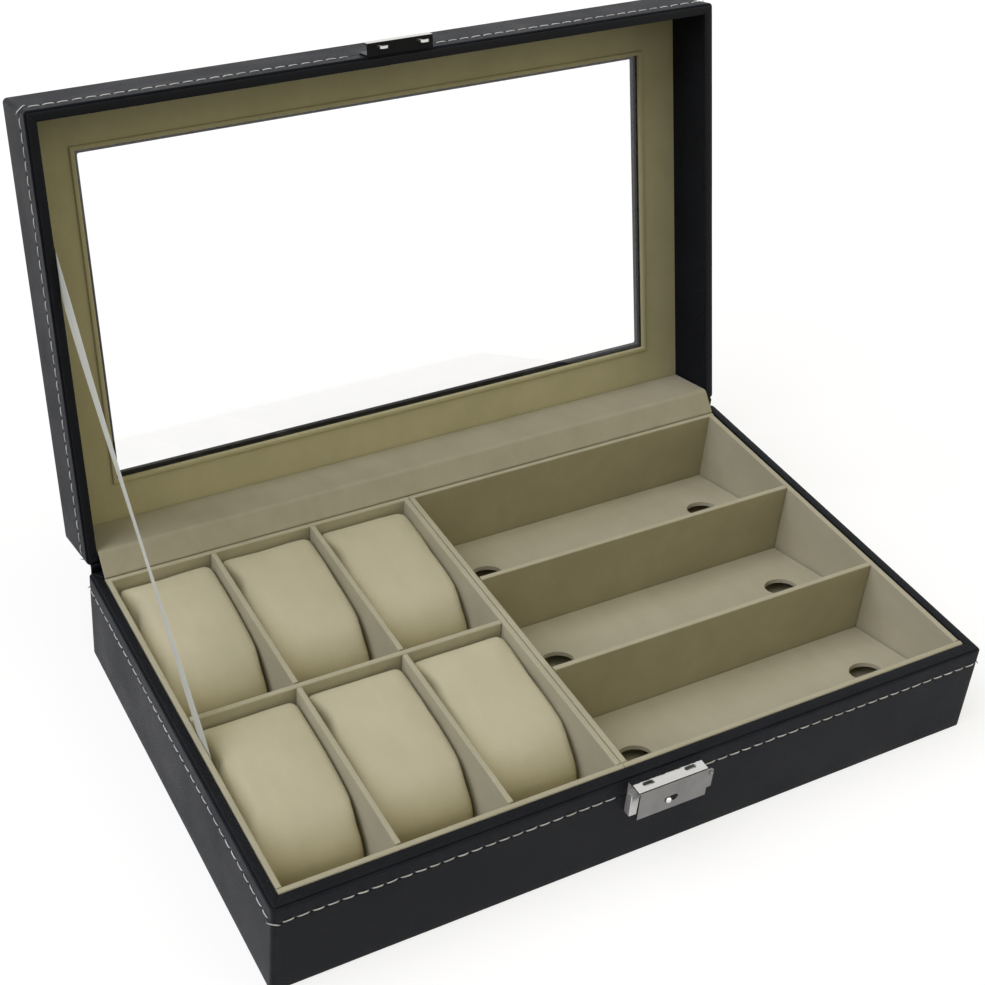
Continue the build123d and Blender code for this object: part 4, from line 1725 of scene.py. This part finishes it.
@dataclass(frozen=True)
class Lamp:
    """A large soft lamp far away.

    Attributes:
        name: Its name.
        towards: The direction in which its light travels.
        level: The light that a facing surface gets, as a share of white.
        spread: Its width in degrees.
        tint: Its colour.
    """

    name: str
    towards: Triple
    level: float
    spread: float
    tint: Colour

    def build(self) -> None:
        """Hangs the lamp."""
        data = bpy.data.lights.new(self.name, "SUN")
        data.energy = self.level * math.pi
        data.color = self.tint
        data.angle = math.radians(self.spread)
        piece = linked(self.name, data)
        piece.rotation_mode = "QUATERNION"
        piece.rotation_quaternion = Vector(self.towards).to_track_quat("-Z", "Y")


@dataclass(frozen=True)
class Studio:
    """Camera, floor, lamps and the white surroundings."""

    camera_place: Triple = (-0.3382, -0.4877, 0.5603)
    camera_right: Triple = (0.8849, -0.4623, 0.0561)
    camera_forward: Triple = (0.4136, 0.7249, -0.5509)
    focal_pixels: float = 1777.1
    centre_pixel: tuple[float, float] = (429.7, 366.0)
    nearest: float = 0.01
    surround: float = 0.20
    surround_tint: Colour = (1.0, 0.95, 0.75)
    floor_reach: float = 4000.0
    floor_shade: float = 0.40
    floor_glow: float = 0.70
    lamps: tuple[Lamp, ...] = (
        Lamp("key", (0.66, -0.10, -0.80), 0.52, 55.0, (0.97, 0.99, 1.15)),
        Lamp("overhead", (0.0, 0.30, -1.0), 0.23, 90.0, (1.0, 0.955, 0.77)),
        Lamp("side_fill", (-0.85, 0.50, -0.28), 0.16, 40.0, (1.0, 0.95, 0.72)),
    )

    def camera(self) -> None:
        """Sets the camera where the photograph was taken from."""
        data = bpy.data.cameras.new("camera")
        data.sensor_width = SENSOR
        data.lens = self.focal_pixels / IMAGE_SIDE * SENSOR
        data.shift_x = (IMAGE_SIDE / 2 - self.centre_pixel[0]) / IMAGE_SIDE
        data.shift_y = (self.centre_pixel[1] - IMAGE_SIDE / 2) / IMAGE_SIDE
        data.clip_start = self.nearest
        back = -Vector(self.camera_forward).normalized()
        up = back.cross(Vector(self.camera_right)).normalized()
        right = up.cross(back)
        turn = Matrix((right, up, back)).transposed().to_4x4()
        seen = linked("camera", data)
        seen.matrix_world = Matrix.Translation(self.camera_place) @ turn
        bpy.context.scene.camera = seen

    def background_ray(self, graph: Graph) -> Socket:
        """One for the rays that see the background: camera, glossy and transmission rays."""
        path = graph.add("LightPath").outputs
        seen = graph.math("MAXIMUM", path["Is Camera Ray"], path["Is Glossy Ray"])
        return graph.math("MAXIMUM", seen, path["Is Transmission Ray"])

    def world(self) -> None:
        """White surroundings to the camera, and a plain level of light on the object."""
        world = bpy.data.worlds.new("surroundings")
        world.use_nodes = True
        bpy.context.scene.world = world
        graph = Graph(world.node_tree)
        sky = graph.tree.nodes["Background"]
        seen = self.background_ray(graph)
        graph.wire(graph.blend(seen, self.surround_tint, (1.0, 1.0, 1.0)), sky.inputs["Color"])
        graph.wire(graph.range(seen, 0.0, 1.0, self.surround, 1.0), sky.inputs["Strength"])

    def floor(self) -> None:
        """A pale floor that shows as white and keeps a soft shadow."""
        corners = np.array([[-1, -1, 0], [1, -1, 0], [1, 1, 0], [-1, 1, 0]]) * self.floor_reach
        piece = mesh_object("floor", corners, [[0, 1, 2, 3]])
        material = bpy.data.materials.new("floor_paper")
        material.use_nodes = True
        graph = Graph(material.node_tree)
        graph.tree.nodes.remove(graph.tree.nodes["Principled BSDF"])
        paper = graph.add("BsdfDiffuse")
        graph.wire((self.floor_shade,) * 3, paper.inputs["Color"])
        glow = graph.add("Emission")
        graph.wire(graph.times(self.background_ray(graph), self.floor_glow), glow.inputs["Strength"])
        both = graph.add("AddShader")
        graph.wire(paper.outputs[0], both.inputs[0])
        graph.wire(glow.outputs[0], both.inputs[1])
        graph.show(both.outputs[0])
        piece.data.materials.append(material)

    def build(self) -> None:
        """Puts up everything round the object, apart from the camera."""
        self.world()
        self.floor()
        for lamp in self.lamps:
            lamp.build()
        bpy.context.scene.view_settings.view_transform = "Standard"


# The whole


def case_marks(plate: float = 0.9) -> tuple[list, list]:
    """Where the latch case is bright: its top plate; below it the case takes a painted shade tone.

    Args:
        plate: How far below the case's top the bright part starts, in millimetres.

    Returns:
        Directions, and how far along each the bright part starts, in millimetres.
    """
    _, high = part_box("latch_case")
    return [(0.0, 0.0, 1.0)], [high.z / MM - plate]


def catch_marks(
    carcass: Carcass, hinge: Hinge, reach: float = 5.9, below: float = 0.12
) -> tuple[list, list]:
    """Where the lid's catch is bright: its hooks below the shelf, and its front lip; elsewhere it is
    painted black as a stand-in for a dark reflection.

    Args:
        carcass: The box's outline sizes.
        hinge: The hinge line.
        reach: How far in front of the box the bright lip starts, in millimetres.
        below: How far below the shelf the bright hooks start, in millimetres.

    Returns:
        Directions, and how far along each the bright part starts, in millimetres.
    """
    shelf = hinge.open(np.array([0.0, carcass.lid_low]))
    down = hinge.open(np.array([0.0, carcass.lid_low - 1.0])) - shelf
    lip = hinge.open(np.array([-carcass.half_y - reach, 0.0]))
    out = hinge.open(np.array([-carcass.half_y - reach - 1.0, 0.0])) - lip
    return [(0.0, *down), (0.0, *out)], [float(down @ shelf) + below, float(out @ lip)]


def materials(effects: Effects, carcass: Carcass, hinge: Hinge) -> dict[str, bpy.types.Material]:
    """Every finish on the box.

    Args:
        effects: The shared node groups.
        carcass: The box's outline sizes.
        hinge: The hinge line.

    Returns:
        The materials by name.
    """
    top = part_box("glasses_divider_front")[1].z / MM
    low, high = (corner.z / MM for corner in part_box("watch_pillow_front_left"))
    tray = ((0.430, 0.400, 0.288), (0.472, 0.440, 0.322))
    finishes = (
        LeatherFinish("leather"),
        LeatherFinish("lid_leather", shine=0.064),
        LeatherFinish(
            "rim_leather", deep=(0.0034, 0.0038, 0.0052), light=(0.0062, 0.0068, 0.0090), shine=0.10),
        VelvetFinish("tray_velvet", *tray),
        # Painted shade: the dividers and tray rear wall darken below their top edge, where shade falls in
        # the cells.
        VelvetFinish(
            "divider_velvet_painted_shade", *tray, painted_shade_tint=(0.815, 0.795, 0.715), painted_shade_full=top - 0.5,
            painted_shade_none=top - 0.2),
        # Painted shade: a darker copy of the tray velvet, for the hinge strip.
        VelvetFinish("hinge_velvet", (0.366, 0.338, 0.244), (0.406, 0.376, 0.276)),
        VelvetFinish("panel_velvet", (0.440, 0.404, 0.240), (0.484, 0.444, 0.272)),
        # Painted shade: the cushions' lower parts take a warm darker tint, standing in for warm bounce
        # light and shade.
        VelvetFinish(
            "cushion_velvet_painted_shade", (0.535, 0.497, 0.350), (0.583, 0.543, 0.388), mottle=0.03,
            painted_shade_tint=(1.0, 0.93, 0.66), painted_shade_full=low + 0.2 * (high - low),
            painted_shade_none=low + 0.85 * (high - low)),
        VelvetFinish("felt", (0.012, 0.012, 0.013), (0.026, 0.026, 0.028), mottle=0.012, sheen=0.1),
        SatinFinish("satin"),
        ThreadFinish("thread"),
        MetalFinish("polished_metal", (0.74, 0.73, 0.71), (0.68, 0.67, 0.65), 0.16),
        MetalFinish(
            "satin_metal", (0.215, 0.212, 0.206), (0.190, 0.187, 0.181), 0.34, hair_depth=0.00001),
        # Painted shade: the case's sides get a half-metallic grey, standing in for how they look under the
        # light.
        PaintedReflectionMetal(
            "case_metal_painted_shade", *case_marks(), dark=(0.72, 0.71, 0.69), bright=(0.60, 0.595, 0.58),
            painted_part_metallic=0.5),
        # Painted reflection: the catch's shelf is near-black, standing in for the dark interior that it
        # reflects.
        PaintedReflectionMetal(
            "catch_metal_painted_reflection", *catch_marks(carcass, hinge), dark=(0.012, 0.012, 0.013),
            bright=(0.66, 0.65, 0.62), painted_part_metallic=0.0, shine=0.05),
        BoardFinish("board"),
        BoardFinish("dark_board", (0.010, 0.010, 0.012), (0.018, 0.018, 0.020)),
        GlassFinish("glass"),
    )
    return {finish.name: finish.material(effects) for finish in finishes}


def main() -> None:
    """Builds the scene round the frame."""
    logging.basicConfig(level=logging.INFO, format="%(name)s: %(message)s")
    studio = Studio()
    studio.camera()
    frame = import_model()
    effects = Effects()
    carcass = Carcass.from_frame()
    hinge = Hinge.from_frame(frame)
    finishes = materials(effects, carcass, hinge)
    FramePieces(frame, finishes).build()
    LeatherWork(carcass, hinge).build(finishes)
    LatchLip(carcass).build(finishes["rim_leather"])
    strips = HingeStrips(carcass, hinge)
    strips.outer(finishes["leather"])
    strips.lining(finishes["hinge_velvet"])
    StayRibbon(hinge).build(carcass, finishes["satin"])
    WatchCushions().build(frame, finishes["cushion_velvet_painted_shade"])
    Stitching(carcass, hinge).build(finishes["thread"])
    studio.build()


if __name__ == "__main__":
    main()
